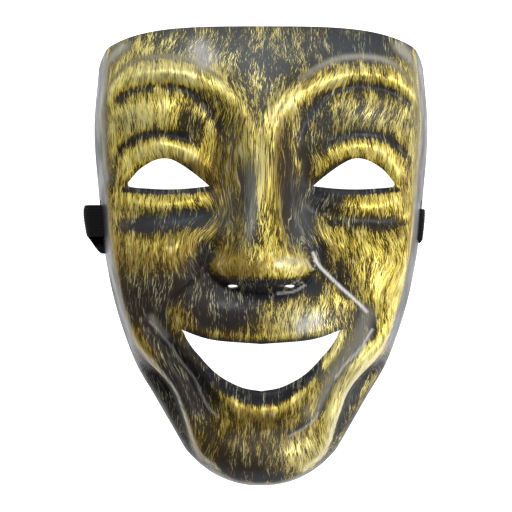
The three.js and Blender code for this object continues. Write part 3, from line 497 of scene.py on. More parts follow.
goldAndPaintedLightPlaces = {
    "forehead": (0, 0, 106, 62, 11, -0.20),
    "foreheadRight": (1, 50, 106, 26, 9, -0.46),
    "foreheadMiddle": (0, 4, 92, 14, 14, -0.14),
    "noseUnderside": (0, 0, -15.2, 26, 4.4, -1.2),
    "underLip": (0, 0, -90, 24, 6, -0.06),
    "lidRight": (1, 50, 69, 26, 10, -0.24),
    "lidLeft": (-1, -56, 72, 18, 8, 0.12),
    "browLeft": (-1, -48, 90, 28, 6, 0.38),
    "browRight": (1, 50, 91, 24, 5, -0.08),
    "upperLidLeft": (-1, -48, 51, 20, 6, 0.56),
    "upperLidRight": (1, 58, 49, 12, 6, 0.3),
    "chinEdge": (0, 0, -115, 40, 6, -0.6),
    "eyeBagLeft": (-1, -38, 19.5, 16, 5, -0.5),
    "eyeBagOuterLeft": (-1, -60, 15.5, 16, 3.6, -0.42),
    "eyeBagRight": (1, 52, 17, 22, 2.6, -0.42),
    "eyeCornerRight": (1, 31, 28, 12, 6, -0.8),
    "foreheadGold": (-1, -62, 104, 14, 6, 0.24),
    "noseFlankLeft": (-1, -17, 32, 6, 34, -0.06),
    "noseFlankRight": (1, 11.5, 40, 4.4, 30, -0.10),
    "noseRidgeLeft": (-1, -6, 26, 4, 22, -0.7),
    "noseStripRight": (1, 4, 30, 3.0, 30, -0.06),
    "wingRight": (1, 21, 10, 7, 12, -0.2),
    "browRightInner": (1, 12, 74, 8, 10, 0.12),
    "lidInnerLeft": (-1, -35, 67, 8, 9, -0.36),
    "lidInnerRight": (1, 25, 60, 8, 16, -0.30),
    "mouthCorner": (0, 52, -33, 5, 8, -0.75),
    "wingPit": (0, 29.5, 3, 4, 6, -0.32),
    "wingPitLeft": (-1, -32, -5, 6, 6, -0.4),
    # painted shade: less gold on the left muzzle, cheek and jaw, which lie away from the key light
    "muzzleLeftShade": (-1, -21, -27, 17, 9, -1.1),
    "cheekLeft": (-1, -50, -18, 26, 12, -0.66),
    "muzzleOuterLeft": (-1, -42, -29, 13, 9, 0.55),
    "jawLeft": (-1, -42, -66, 13, 26, -1.3),
    "jawRight": (1, 46, -66, 8, 30, -0.16),
    # painted shade: less gold on the left cheek's lower part, the left jaw panel and the chin's left side
    "cheekLowLeftShade": (-1, -60, -38, 10, 18, -0.5),
    "jawPanelLeftShade": (-1, -50, -76, 7, 20, -0.6),
    "chinLeftShade": (-1, -12, -104, 26, 12, -0.56),
    "chinRight": (1, 20, -100, 12, 12, 0.16),
    "lowerLipLeft": (-1, -30, -60, 9, 14, -0.10),
    "noseHollowRight": (1, 18, 22, 7, 18, -0.5),
    "cheekRight": (1, 40, -8, 12, 10, -0.28),
    "cheekRightOuter": (1, 72, -6, 7, 22, -0.14),
    "lidOuterRight": (1, 66, 40, 9, 12, 0.2),
    "bulb": (0, 0, -4, 22, 8, 0.05),
    # painted highlight: more gold on the bulb's right side
    "bulbHighlight": (1, 14, -3, 9, 5, 0.4),
    "lowerLipRight": (1, 24, -66, 10, 8, 0.2),
}

goldAndPaintedLightLines = {
    # painted highlight: more gold along the right brow's lower edge
    "browRightLower": (1, [(11, 72), (16, 77), (22.5, 81.5), (30, 84.6), (40, 86.4)], 2.4, 0.6),
    "browGroove": (0, strokes["browGroove"][0], 1.8, -0.22),
    "lidGroove": (0, strokes["lidGroove"][0], 1.8, -0.3),
    "underLipEdge": (0, [(0, -70.8), (9, -69.2), (17, -65.8), (22, -62), (27, -57.4)], 3.4, -1.1),
    "eyeShelf": (0, [(25, 33.4), (40, 32.6), (55, 32.6), (70, 33.6)], 0.9, -0.8),
    # painted shade: less gold in the left laugh line
    "laughLineLeftShade": (-1, [(-26, 0), (-30.5, -7), (-40, -15.6), (-50, -24.6)], 1.6, -0.9),
    "edgeLeft": (-1, [(-80, 40), (-78, 10), (-73, -12), (-67, -32)], 5.0, -0.5),
    "foldRight": (1, creases["lipValley"][0], 1.2, -0.4),
}

# Smooth strips with no brush marks, where the brush slid along a bend, laid pale grey as painted sheen of the
# lights on the smooth plastic; the temples' strips are painted reflection, standing for the walls' sheen: a
# side, the points, the half width and how far the marks are hidden.
smoothSheenStrips = {
    "aboveBrow": (0, [(20, 88), (26, 92.5), (36, 97.8), (47, 100), (59, 99.4), (67, 96.4), (74, 89.5),
                      (80, 79), (82, 68)], 1.6, 0.75),
    "lipValleyRight": (1, [(54, -29), (50, -39), (41.5, -50), (36, -59), (31.5, -69), (25, -78)], 4.2, 0.45),
    "lipValleyLeft": (-1, [(-55, -31), (-52, -35), (-48, -40)], 2.0, 0.45),
    "noseFlankLeft": (-1, [(-13, 62), (-14.5, 44), (-16, 28), (-19, 14)], 5.0, 0.15),
    "noseStrip": (-1, [(-8.5, 48), (-5.5, 38), (-4.4, 25), (-6.5, 14), (-9.4, 4)], 3.2, 0.24),
    "templeLeftReflection": (-1, [(-70, 106), (-78.5, 97), (-80.5, 80), (-80.5, 60), (-81, 40)], 4.0, 1.0),
    "templeRightReflection": (1, [(70, 106), (77.5, 97), (80, 80), (80.5, 60), (80.5, 42), (79.5, 22)], 3.2, 0.9),
}

# Painted highlights: crisp pale lines along edges and creases, and soft pale spots on the muzzle, the nose's
# bulb and the forehead, standing for glints of the lights: a side, the points, the half width and the
# strength. The left jaw has its line on the lower part of the fold alone.
jawFold = [(71, -32), (68.3, -40), (64.3, -46), (57.3, -54), (51.3, -60), (46.9, -65), (43.7, -70),
           (40.5, -78), (37.9, -85), (35.7, -92), (33.3, -98), (29, -104.5), (23.5, -110)]

paintedHighlightLines = {
    "jawRight": (1, jawFold, 1.6, 0.8),
    "jawLeft": (-1, [(-x, y) for x, y in jawFold[3:]], 1.6, 0.8),
    "lipLeft": (-1, [(-56, -33), (-52, -37), (-50.3, -39.4), (-44.8, -45.9), (-40.2, -53.3), (-33.7, -61.4),
                     (-30, -69.8), (-26.4, -76.3), (-21.7, -80.9)], 0.6, 0.3),
    "lipRight": (1, [(56, -37), (51.2, -44.9), (45.6, -51.4), (41.9, -55.1), (37.8, -61)], 0.6, 0.8),
    "underLipRight": (1, [(28.5, -79), (27.2, -81.9), (21.6, -86.5), (14.2, -90.6)], 0.6, 0.3),
    "laughRight": (1, [(26, 1.5), (28.2, -3.5), (31.5, -7.5), (39.7, -15.6), (48.8, -23.6), (53, -28)],
                   0.75, 0.95),
    "noseUnder": (1, [(8, -18.6), (16, -17.8), (22, -14.5)], 0.5, 0.6),
    "muzzleRight": (1, [(20, -35), (27, -32)], 4.0, 0.45),
    "bulbRight": (1, [(9, -3.4), (18, -2)], 2.6, 0.3),
    "foreheadLeft": (-1, [(-31, 103), (-28, 99)], 6.0, 0.42),
}

# Dark brown where the gold was laid thin over the black, and painted shade on the bulb's left side and the
# left cheek, jaw, muzzle and chin, which lie away from the key light: a side, x, y, the half widths and the
# share.
umberAndShade = {
    "bulbLeftShade": (-1, -12, -6, 12, 7, 1.0),
    "lidEdgeLeft": (-1, -38, 44, 20, 6, 0.8),
    "lidCornerLeft": (-1, -26, 36, 7, 8, 0.7),
    "cheekLeft": (-1, -48, -12, 26, 18, 1.0),
    "flankRight": (1, 10.5, 50, 4.5, 30, 0.7),
    "cheekInnerRight": (1, 38, 2, 10, 8, 0.35),
    "outerRight": (1, 76, 22, 4, 36, 0.6),
    "edgeLeft": (-1, -77, 0, 9, 40, 0.7),
    "browLeft": (-1, -44, 90, 22, 3, 0.3),
    "browRight": (1, 22, 86, 12, 5, 0.4),
    "jawLeft": (-1, -42, -66, 16, 36, 0.8),
    "cheekLowLeftShade": (-1, -62, -34, 14, 22, 0.8),
    "noseHollowRight": (1, 18, 24, 8, 24, 0.8),
    "lowerLip": (0, 0, -86, 26, 10, 0.8),
    "chin": (-1, -8, -102, 26, 10, 0.8),
    "muzzleLeftShade": (-1, -26, -30, 26, 10, 0.7),
    "muzzleRight": (1, 38, -29, 12, 4, 0.4),
    "noseFlankLeft": (-1, -17, 30, 7, 36, 0.65),
    "wingPitLeft": (-1, -30, -2, 9, 10, 0.7),
}

# Pale khaki where the gold was thin and worn smooth. On the forehead and the muzzle's right side it is also
# painted sheen, and on the right wall painted reflection, where the lights show on the glossy plastic.
khaki = {
    "forehead": (-1, -24, 104, 54, 16, 0.8),
    "foreheadMiddle": (0, 0, 84, 14, 20, 0.5),
    "foreheadRight": (1, 46, 104, 36, 14, 0.4),
    "lidRight": (1, 52, 70, 26, 10, 0.7),
    "lidLeft": (-1, -62, 70, 14, 8, 0.5),
    "noseRidge": (0, -3, 46, 10, 16, 0.5),
    "wingRight": (1, 20, 14, 7, 16, 0.7),
    "muzzleRight": (1, 22, -32, 16, 9, 0.9),
    "noseStrip": (-1, -5, 27, 4, 24, 0.5),
    "lipValleyRight": (1, 40, -54, 14, 24, 0.4),
    "jawRight": (1, 44, -66, 14, 30, 0.4),
    "chinRight": (1, 18, -100, 16, 12, 0.6),
    "bagLeft": (-1, -44, 18, 26, 6, 0.4),
    "wallRightReflection": (1, 78, 60, 6, 50, 0.4),
}

# Which way the brush went: straight up the face, but turned in these places. A place is a side (0 is both,
# mirrored), x, y, the two half widths, the lean (across for each millimetre up), how strongly the strokes
# spread below that point (across for each millimetre out and up), and how much longer they run.
brushing = {
    "lidRight": (1, 54, 70, 26, 13, 0.55, 0, 0),
    "browRight": (1, 30, 86, 26, 12, 0.6, 0, 0),
    "lidLeft": (-1, -54, 70, 26, 14, 0, -0.022, 0),
    "browLeft": (-1, -56, 90, 26, 10, 0.18, 0, 0),
    "browInnerLeft": (-1, -16, 82, 14, 14, -0.5, 0, 0),
    "foreheadLeft": (-1, -40, 106, 34, 10, 0.35, 0, 0),
    "nose": (0, 0, 40, 24, 36, 0, 0, 0.85),
    "noseStrip": (-1, -6, 26, 8, 22, 0.18, 0, 0),
    "wing": (0, 23, 12, 9, 15, -0.55, 0, 0.5),
    "upperLid": (0, 47, 50, 24, 9, 0, -0.03, 0),
    "lowerLid": (0, 47, 27, 24, 6, 0, 0.012, 0),
    "cheekRight": (1, 66, -12, 14, 16, 0.6, 0, 0.2),
    "cheekInnerRight": (1, 34, 6, 12, 12, -0.45, 0, 0),
    "cheekInnerLeft": (-1, -36, -6, 12, 12, -0.45, 0, 0),
    "cheekFanLeft": (-1, -30, 14, 9, 10, 0.5, 0, 0),
    "muzzle": (0, 0, -28, 40, 12, 0, -0.012, 0),
    "jaw": (0, 46, -58, 14, 28, 0.5, 0, 0.3),
    "chin": (0, 26, -96, 12, 14, -0.4, 0, 0.2),
}

# Where the strokes cross more steeply: a side, x, y, the half widths and the lean added either way.
crossing = {
    "forehead": (0, 0, 105, 80, 14, 0.6),
    "brows": (0, 0, 84, 16, 12, 0.3),
    "cheekLeft": (-1, -54, -18, 26, 16, 0.4),
    "chin": (0, 0, -100, 30, 14, 0.2),
}

# Which facings of the sheet count as its front and its walls, by how level they lie (1 is level), how much
# more the jaw counts as front, and how far in from a wall its shoulder lies, in millimetres.
painting = {"frontFacing": (0.2, 0.42), "jawFacing": 0.2, "wallFacing": (0.3, 0.7), "shoulderReach": 4}


def mirrored(side, x):
    return np.abs(x) if side == 0 else x


def fromLine(x, y, side, points):
    return nearest(mirrored(side, x), y, smoothLine(points, meshing["paintSteps"]))[0]


def overPlaces(x, y, places, power=2):
    # what the places of a table add up to at each point
    total = np.zeros_like(x)
    for side, cx, cy, rx, ry, strength in places.values():
        total += strength * hill(mirrored(side, x), y, cx, cy, rx, ry, power)
    return total


def alongLines(x, y, lines):
    # the strongest of several soft lines at each point
    most = np.zeros_like(x)
    for side, points, width, strength in lines.values():
        most = np.maximum(most, strength * np.exp(-(fromLine(x, y, side, points) / width)**2.6))
    return most


def goldAndPaintedLightShare(x, y, z, pairs, weights):
    fine = z
    broad = z
    for k in range(gilding["broadPasses"]):
        broad = neighbourMean(broad, pairs, weights)
        if k < gilding["finePasses"]:
            fine = broad
    share = gilding["base"] + gilding["fineRelief"] * (z - fine) + gilding["broadRelief"] * (z - broad)
    # the places and lines add gold, and in some of them painted shade and painted highlights
    share += overPlaces(x, y, goldAndPaintedLightPlaces, 2.2)
    for side, points, width, more in goldAndPaintedLightLines.values():
        share += more * np.exp(-(fromLine(x, y, side, points) / width)**2)
    return np.clip(share, -1, 1)


def brushPlace(x, y):
    # millimetres across and along the brush strokes, and how far crossing strokes lie to either side
    across = x.copy()
    along = y.copy()
    for side, cx, cy, rx, ry, lean, fan, longer in brushing.values():
        outward = mirrored(side, x)
        near = hill(outward, y, cx, cy, rx, ry, 2)
        across += (np.sign(x) if side == 0 else 1) * near * (fan * (outward - cx) - lean) * (y - cy)
        along -= near * longer * (y - cy)
    apart = np.zeros(len(x))
    for side, cx, cy, rx, ry, more in crossing.values():
        apart += more * hill(mirrored(side, x), y, cx, cy, rx, ry, 2) * (y - cy)
    return np.column_stack([across, along, apart])


def downWalls(x, y, z, normals):
    # how far the walls would reach outwards if folded flat, so that no paint is drawn out down them
    level = unitRows(normals[:, :2])
    inwards = np.column_stack([x, y]) - painting["shoulderReach"] * level
    drop = np.maximum(surfaceHeight(*inwards.T) - z, 0) * (1 - ramp(*painting["wallFacing"], normals[:, 2]))
    return level * drop[:, None]


def maskPiece(painted, bare):
    net, triangles, rim = faceNet()
    count = len(net)
    x, y = net.T
    z = surfaceHeight(x, y)
    edges = openEdges(triangles)
    border = np.unique(edges)
    toRim = nearest(x[border], y[border], closed(rim))[0]
    lying = np.zeros(count, bool)
    lying[border] = (toRim < meshing["touching"]) & (y[border] <= face["top"] - face["topDrop"] + 1e-6)
    pairs, weights = edgePairs(triangles, count)
    for _ in range(meshing["heightPasses"]):
        z = 0.5 * z + 0.5 * neighbourMean(z, pairs, weights)
    z = np.where(lying, rimHeight(y), z)
    outer = np.column_stack([x, y, z])
    normals = pointNormals(outer, triangles)
    soft = normals
    for _ in range(meshing["normalPasses"]):
        soft = unitRows(0.5 * soft + 0.5 * neighbourMean(soft, pairs, weights))
    inner = outer - face["sheet"] * np.where(lying[:, None], unitRows(soft * [1, 1, 0]), soft)
    inner[:, 2] = np.maximum(inner[:, 2], 0)
    cut = [(a + count, b + count, b, a) for a, b in edges]
    faces = triangles.tolist() + (triangles[:, ::-1] + count).tolist() + cut
    kinds = np.ones(len(faces), np.int32)
    kinds[:len(triangles)] = 0
    made = meshObject("mask_face", rowPlace(np.vstack([outer, inner])), faces, [painted, bare], kinds)

    facing = ramp(*painting["frontFacing"], normals[:, 2] + painting["jawFacing"] * ramp(-36, -52, y))
    pointAttribute(made, "front", np.concatenate([facing, np.zeros(count)]))
    brush = brushPlace(x, y)
    unfold = downWalls(x, y, z, soft)
    brush[:, :2] += unfold
    # the sheen strips and glint lines are painted light, and the umber and khaki layers partly painted shade
    # and sheen
    for name, values in (("gold", goldAndPaintedLightShare(x, y, z, pairs, weights)), ("brush", brush),
                         ("smoothSheen", alongLines(*(net + unfold).T, smoothSheenStrips)),
                         ("paintedGlint", alongLines(*(net + unfold).T, paintedHighlightLines)),
                         ("umberAndShade", np.clip(overPlaces(x, y, umberAndShade), 0, 1)),
                         ("khaki", np.clip(overPlaces(x, y, khaki), 0, 1))):
        pointAttribute(made, name, np.concatenate([values, values]))
    crisp = {tuple(sorted(pair)) for a, b in edges for pair in ((a, b), (a + count, b + count))}
    sharp = made.data.attributes.new("sharp_edge", "BOOLEAN", "EDGE")
    sharp.data.foreach_set("value", [tuple(sorted(e.vertices)) in crisp for e in made.data.edges])
    print("mask face", len(faces), "faces")
    return made


class Wire:
    # a node's output; its sums, differences, products and quotients are new nodes
    def __init__(self, socket):
        self.socket = socket
        self.tree = socket.id_data

    def math(self, operation, other=0.0):
        made = node(self.tree, "ShaderNodeMath", in0=self, in1=other)
        made.operation = operation
        return Wire(made.outputs[0])

    def __add__(self, other):
        return self.math("ADD", other)

    def __sub__(self, other):
        return self.math("SUBTRACT", other)

    def __rsub__(self, other):
        return self * -1 + other

    def __mul__(self, other):
        return self.math("MULTIPLY", other)

    def __truediv__(self, other):
        return self.math("DIVIDE", other)


def wire(inputs, values):
    # each input named or numbered, given as a value or as another node's output
    for key, value in values.items():
        numbered = key.startswith("in") and key[2:].isdigit()
        socket = inputs[int(key[2:]) if numbered else key]
        if isinstance(value, Wire):
            value.tree.links.new(value.socket, socket)
        else:
            socket.default_value = value


def node(tree, kind, **values):
    made = tree.nodes.new(kind)
    wire(made.inputs, values)
    return made


def single(tree, kind, **values):
    return Wire(node(tree, kind, **values).outputs[0])


def reader(made):
    return lambda title: Wire(made.outputs[title])


def newGroup(name, kind, inputs, outputs):
    # an input is its title, its kind and, where it has one, its value
    tree = bpy.data.node_groups.new(name, kind)
    for title, socketKind, *value in inputs:
        socket = tree.interface.new_socket(title, in_out="INPUT", socket_type="NodeSocket" + socketKind)
        if value:
            socket.default_value = value[0]
    for title, socketKind in outputs:
        tree.interface.new_socket(title, in_out="OUTPUT", socket_type="NodeSocket" + socketKind)
    return tree, reader(tree.nodes.new("NodeGroupInput")), tree.nodes.new("NodeGroupOutput").inputs


def noise(place, scale, detail, roughness=0.5):
    return single(place.tree, "ShaderNodeTexNoise", Vector=place, Scale=scale, Detail=detail,
                  Roughness=roughness)


def combined(tree, x, y, z):
    return single(tree, "ShaderNodeCombineXYZ", X=x, Y=y, Z=z)


def attribute(tree, name, output="Fac"):
    made = tree.nodes.new("ShaderNodeAttribute")
    made.attribute_name = name
    return Wire(made.outputs[output])


def objectPlace(tree):
    return Wire(tree.nodes.new("ShaderNodeTexCoord").outputs["Object"])


def bumps(height, distance):
    return single(height.tree, "ShaderNodeBump", Height=height, Strength=1.0, Distance=distance)


def spread(value, low, high, toLow=0.0, toHigh=1.0):
    made = node(value.tree, "ShaderNodeMapRange", in0=value)
    wire(made.inputs, {"From Min": low, "From Max": high, "To Min": toLow, "To Max": toHigh})
    return Wire(made.outputs[0])


def mixColour(factor, *colours):
    made = factor.tree.nodes.new("ShaderNodeMix")
    made.data_type = "RGBA"
    first, second = (c if isinstance(c, Wire) else (*c, 1) for c in colours)
    wire(made.inputs, {"in0": factor, "in6": first, "in7": second})
    return Wire(made.outputs[2])


def colourRamp(factor, stops):
    made = node(factor.tree, "ShaderNodeValToRGB", in0=factor)
    ramped = made.color_ramp
    while len(ramped.elements) < len(stops):
        ramped.elements.new(0.5)
    for element, (at, colour) in zip(ramped.elements, stops):
        element.position = at
        element.color = (*colour, 1)
    return Wire(made.outputs[0])


# The brush's marks: how fast they drift, how far apart in the noise the layers of hairs lie, and the patches
# that it misses, against a mark's width and length.
brushMarks = {"drift": 0.25, "layer": 7.3, "patchWidth": 9.0, "patchShort": 0.35, "patchRough": 0.6}


def brushStreaksGroup():
    # short fine marks of a nearly dry brush, leaning either way, from places across and along the strokes
    tree, given, result = newGroup(
        "brushStreaks", "ShaderNodeTree",
        [("Vector", "Vector"), ("Width", "Float", 0.4), ("Length", "Float", 3.5), ("Wander", "Float", 0.8),
         ("Lean", "Float", 0.2), ("Seed", "Float", 0.0)],
        [("Streaks", "Float"), ("Scratches", "Float"), ("Patches", "Float")])
    place = given("Vector")
    parts = reader(node(tree, "ShaderNodeSeparateXYZ", in0=place))
    across = parts("X") + (noise(place, brushMarks["drift"], 1) - 0.5) * given("Wander")
    slant = parts("Y") * given("Lean") + parts("Z")
    along = parts("Y") / given("Length")
    apart = brushMarks["layer"]
    left, right, upright = (
        noise(combined(tree, leaning / given("Width"), along, given("Seed") + apart * layer), 1, 1)
        for layer, leaning in enumerate((across + slant, across - slant, across)))
    patch = combined(tree, across / (given("Width") * brushMarks["patchWidth"]),
                     along * brushMarks["patchShort"], given("Seed"))
    wire(result, {"Streaks": left.math("MAXIMUM", right), "Scratches": upright,
                  "Patches": noise(patch, 1, 3, brushMarks["patchRough"])})
    return tree


# Moulded sheet, to the metre: broad waves, fine grain, and how the waves change the roughness.
mouldedSkin = {"waves": 60.0, "grain": 900.0, "grainShare": 0.12, "smudge": (0.35, 0.7, 0.85, 1.35)}


def skinGroup():
    # the faint waves and dust that moulded sheet shows, as a height and a roughness
    tree, given, result = newGroup("mouldedSkin", "ShaderNodeTree",
                                   [("Vector", "Vector"), ("Roughness", "Float", 0.2)],
                                   [("Height", "Float"), ("Roughness", "Float")])
    waves = noise(given("Vector"), mouldedSkin["waves"], 2)
    grain = noise(given("Vector"), mouldedSkin["grain"], 3)
    wire(result, {"Height": waves + grain * mouldedSkin["grainShare"],
                  "Roughness": given("Roughness") * spread(waves, *mouldedSkin["smudge"])})
    return tree


groups = {"streaks": brushStreaksGroup(), "skin": skinGroup()}


def useGroup(tree, key, **values):
    made = tree.nodes.new("ShaderNodeGroup")
    made.node_tree = groups[key]
    made.label = groups[key].name
    wire(made.inputs, values)
    return reader(made)


def newMaterial(name):
    material = bpy.data.materials.new(name)
    material.use_nodes = True
    tree = material.node_tree
    return material, tree, tree.nodes["Principled BSDF"].inputs


# Gold paint dry-brushed over black plastic. Colours are linear, sizes in millimetres. A range is the values
# that a change runs between, and then the shares that it runs to.
goldPaint = {
    "width": 0.30,
    "length": 4.6,
    "wander": 1.0,
    "lean": 0.28,
    "coarser": 1.9,
    "coarseLean": 0.6,
    "fineShare": 0.66,
    "coarseShare": 0.34,
    "scratching": 0.5,
    "patching": 0.6,
    "edge": 0.036,
    "middle": 0.543,
    "gain": 0.40,
    "washRange": (-0.1, 0.5),
    "coverRange": (0, 0.25),
    "thickRange": (0.64, 0.82, 0, 0.75),
    "warmShare": 0.36,
    "warmGround": 0.08,
    "brownRange": (0.49, 0.70, 0, 0.85),
    "wornShare": 0.75,
    "scratchRange": (0.58, 0.66, 0, 0.7),
    "scratchPatches": (0.42, 0.6),
    "gapRange": (0.46, 0.36, 0, 0.7),
    "edgeRange": (0.3, 0.5, 0.55, 1),
    "washCoat": 0.8,
    "skinHeight": 0.5,
    "plastic": (0.010, 0.010, 0.013),
    "wash": (0.032, 0.022, 0.005),
    # the ground under the khaki: worn paint, partly painted sheen
    "wornAndSheenGround": (0.060, 0.065, 0.068),
    # painted sheen: the pale grey of the smooth strips
    "smoothSheen": (0.24, 0.228, 0.19),
    # painted highlight: the colour of the pale glint lines and spots
    "paintedGlint": (0.55, 0.53, 0.50),
    "khaki": (0.44, 0.42, 0.25),
    "stops": [(0.0, (0.040, 0.029, 0.008)), (0.35, (0.12, 0.086, 0.014)), (0.65, (0.32, 0.24, 0.028)),
              (1.0, (0.64, 0.50, 0.060))],
    "pale": (0.86, 0.79, 0.36),
    "brown": (0.17, 0.092, 0.009),
    "roughPlastic": 0.40,
    "roughWall": 0.34,
    "roughPaint": 0.46,
    "specular": 0.09,
    "metal": 0.4,
    "bump": 0.00007,
}


def brushed(brush, size, lean, seed):
    p = goldPaint
    return useGroup(brush.tree, "streaks", Vector=brush, Width=p["width"] * size, Length=p["length"] * size,
                    Wander=p["wander"], Lean=p["lean"] * lean, Seed=seed)


def paintedPlastic():
    p = goldPaint
    material, tree, skin = newMaterial("gold brushed black plastic")
    gold, front, smoothSheen, brownAndShade, wornAndSheen, paintedGlint = (attribute(tree, name) for name in
                                            ("gold", "front", "smoothSheen", "umberAndShade", "khaki", "paintedGlint"))
    brush = attribute(tree, "brush", "Vector")
    fine = brushed(brush, 1, 1, 11)
    coarse = brushed(brush, p["coarser"], p["coarseLean"], 3)
    marks = fine("Streaks") * p["fineShare"] + coarse("Streaks") * p["coarseShare"]
    scratched = (fine("Scratches") - 0.5) * p["scratching"]
    patches = (coarse("Patches") - 0.5) * p["patching"]
    level = marks + scratched + (patches + (gold - 0.5) * p["gain"])
    cover = spread(level, p["middle"] - p["edge"], p["middle"] + 2 * p["edge"]) * front * (1 - smoothSheen)

    washed = spread(gold + patches, *p["washRange"]) * front
    ground = mixColour(washed, p["plastic"], p["wash"])
    # worn paint, partly painted sheen on the forehead and the muzzle's right side and painted reflection on
    # the right wall
    ground = mixColour(wornAndSheen * front, ground, p["wornAndSheenGround"])
    # painted sheen: the smooth strips are laid in pale grey
    ground = mixColour(smoothSheen, ground, p["smoothSheen"])
    colour = mixColour(spread(cover, *p["coverRange"]), ground, colourRamp(cover, p["stops"]))
    # brown where the gold is thin, and painted shade on the left cheek, jaw, muzzle, chin and the bulb's left
    # side
    warmed = spread(fine("Patches") + brownAndShade * p["warmShare"], *p["brownRange"])
    scratch = spread(fine("Scratches"), *p["scratchRange"]) * front
    for share, over in (
            (spread(level, *p["thickRange"]) * cover, "pale"),
            (warmed * cover.math("MAXIMUM", brownAndShade * p["warmGround"]), "brown"),
            (wornAndSheen * (cover * p["wornShare"]), "khaki"),
            (scratch * spread(coarse("Patches"), *p["scratchPatches"]), "khaki"),
            (spread(fine("Scratches"), *p["gapRange"]) * cover, "plastic"),
            # painted highlights: the pale glint lines and spots
            (paintedGlint * spread(coarse("Scratches"), *p["edgeRange"]), "paintedGlint")):
        colour = mixColour(share, colour, p[over])

    moulded = useGroup(tree, "skin", Vector=objectPlace(tree),
                       Roughness=spread(front, 0, 1, p["roughWall"], p["roughPlastic"]))
    rough = single(tree, "ShaderNodeMix", in0=cover.math("MAXIMUM", washed * p["washCoat"]),
                   in2=moulded("Roughness"), in3=p["roughPaint"])
    wire(skin, {"Base Color": colour, "Roughness": rough, "Metallic": cover * p["metal"],
                "Specular IOR Level": p["specular"],
                "Normal": bumps(moulded("Height") * p["skinHeight"] + cover, p["bump"])})
    return material


# The bare back of the sheet: its roughness, its two shades by height, and the bumps' height in metres.
bareBack = {"rough": 0.3, "shades": [(0.3, (0.009, 0.009, 0.010)), (0.8, (0.016, 0.0155, 0.016))],
            "bump": 0.0001}


def barePlastic():
    material, tree, skin = newMaterial("bare black plastic")
    moulded = useGroup(tree, "skin", Vector=objectPlace(tree), Roughness=bareBack["rough"])
    wire(skin, {"Base Color": colourRamp(moulded("Height"), bareBack["shades"]),
                "Roughness": moulded("Roughness"), "Normal": bumps(moulded("Height"), bareBack["bump"])})
    return material


# The elastic lies flat under the mask, bends round the rim at either side and goes back in through a slot in
# the wall, and its end is sewn down onto it. Millimetres, with the drop and the landing inwards from the rim
# and up from the slot or the lap.
strap = {
    "width": 16.5,
    "thickness": 1.2,
    "slot": {"y": 18.0, "z": 8.2, "length": 22.0, "height": 3.0, "near": 70.0, "far": 94.0},
    "ends": [
        {"side": -1, "y": 18.4, "beyond": 9.8, "slant": 9.0, "taper": 0.24, "corner": 0.14},
        {"side": 1, "y": 16.3, "beyond": 2.6, "slant": 1.5, "taper": 0.75, "corner": 0.1},
    ],
    "underRim": 0.5,
    "straightTo": 12,
    "drop": [(3, 0), (7, -0.8), (13, -3.6)],
    "landing": [(18, 0.55), (21, 0), (25, 0)],
    "lapFrom": 21,
    "lap": 22.0,
    "lapGap": 0.02,
    "back": (3, 24),
    "across": 67,
    "turnPoints": 17,
    "step": 2.0,
    "ribs": 11,
    "ribDepth": 0.14,
    "least": 0.02,
    "taperPower": 1.6,
    "cornerPower": 8,
}

# The zigzag that holds each end, in millimetres. The number of rows is odd, so that neighbours along a row
# lean opposite ways.
stitching = {"rows": 3, "perRow": 12, "length": 2.3, "thread": 0.42, "lean": 0.62, "spanX": 16.5,
             "spanY": 11.0, "alongLap": 0.55, "sunk": 0.02, "segments": 8, "rings": 6}


def levelLine(start, stop, step, z):
    x = np.arange(start, stop, step)
    return np.column_stack([x, np.full(len(x), z)])


def rimAt(end):
    return float(tabled("side", np.array(end["y"])))


def restingY(end, x):
    # where the flat run lies: level in the middle of the mask, slanted towards each end
    middleY = np.mean([each["y"] - each["slant"] for each in strap["ends"]])
    return np.interp(x, [0, rimAt(end) - strap["straightTo"]], [middleY, end["y"] - end["slant"]])


def strapLine(end):
    # one half of the elastic, from the middle out to its sewn end: places, and the way each one faces
    rim = rimAt(end)
    half = strap["thickness"] / 2
    slotZ = strap["slot"]["z"]
    radius = (slotZ - half) / 2
    bend = min(radius, end["beyond"] - half)
    turnX = rim + end["beyond"] - half - bend
    lapZ = half + strap["thickness"] + strap["lapGap"]
    flat = levelLine(0, turnX, strap["step"], half)
    turn = np.linspace(-math.pi / 2, math.pi / 2, strap["turnPoints"])
    loop = np.column_stack([turnX + bend * np.cos(turn), half + radius + radius * np.sin(turn)])
    drop = smoothLine([(turnX - 1, slotZ)] + [(rim - x, slotZ + z) for x, z in strap["drop"]]
                      + [(rim - x, lapZ + z) for x, z in strap["landing"]], 4)[4:]
    lap = levelLine(rim - (strap["landing"][-1][0] + strap["step"]), rim - strap["lapFrom"] - strap["lap"],
                    -strap["step"], lapZ)
    line = np.vstack([flat, loop, drop, lap])
    run = runAlong(line)
    flatY = restingY(end, line[:, 0])
    begin = np.interp(rim - strap["underRim"], flat[:, 0], run[:len(flat)])
    out = flatY + (end["y"] - flatY) * ramp(begin, run[len(flat) + len(turn) // 2], run)
    near, far = strap["back"]
    back = end["y"] + (flatY - end["y"]) * ramp(rim - near, rim - far, line[:, 0])
    y = np.where(np.arange(len(line)) < len(flat) + len(loop), out, back)
    way = unitRows(np.gradient(line, axis=0))
    side = end["side"]
    places = np.column_stack([side * line[:, 0], y, line[:, 1]])
    facing = np.column_stack([-side * way[:, 1], np.zeros(len(line)), way[:, 0]])
    beyond = np.maximum(line[:, 0] - rim, 0) * side
    return places, facing, beyond[:, None] * [end["taper"], end["corner"]], run


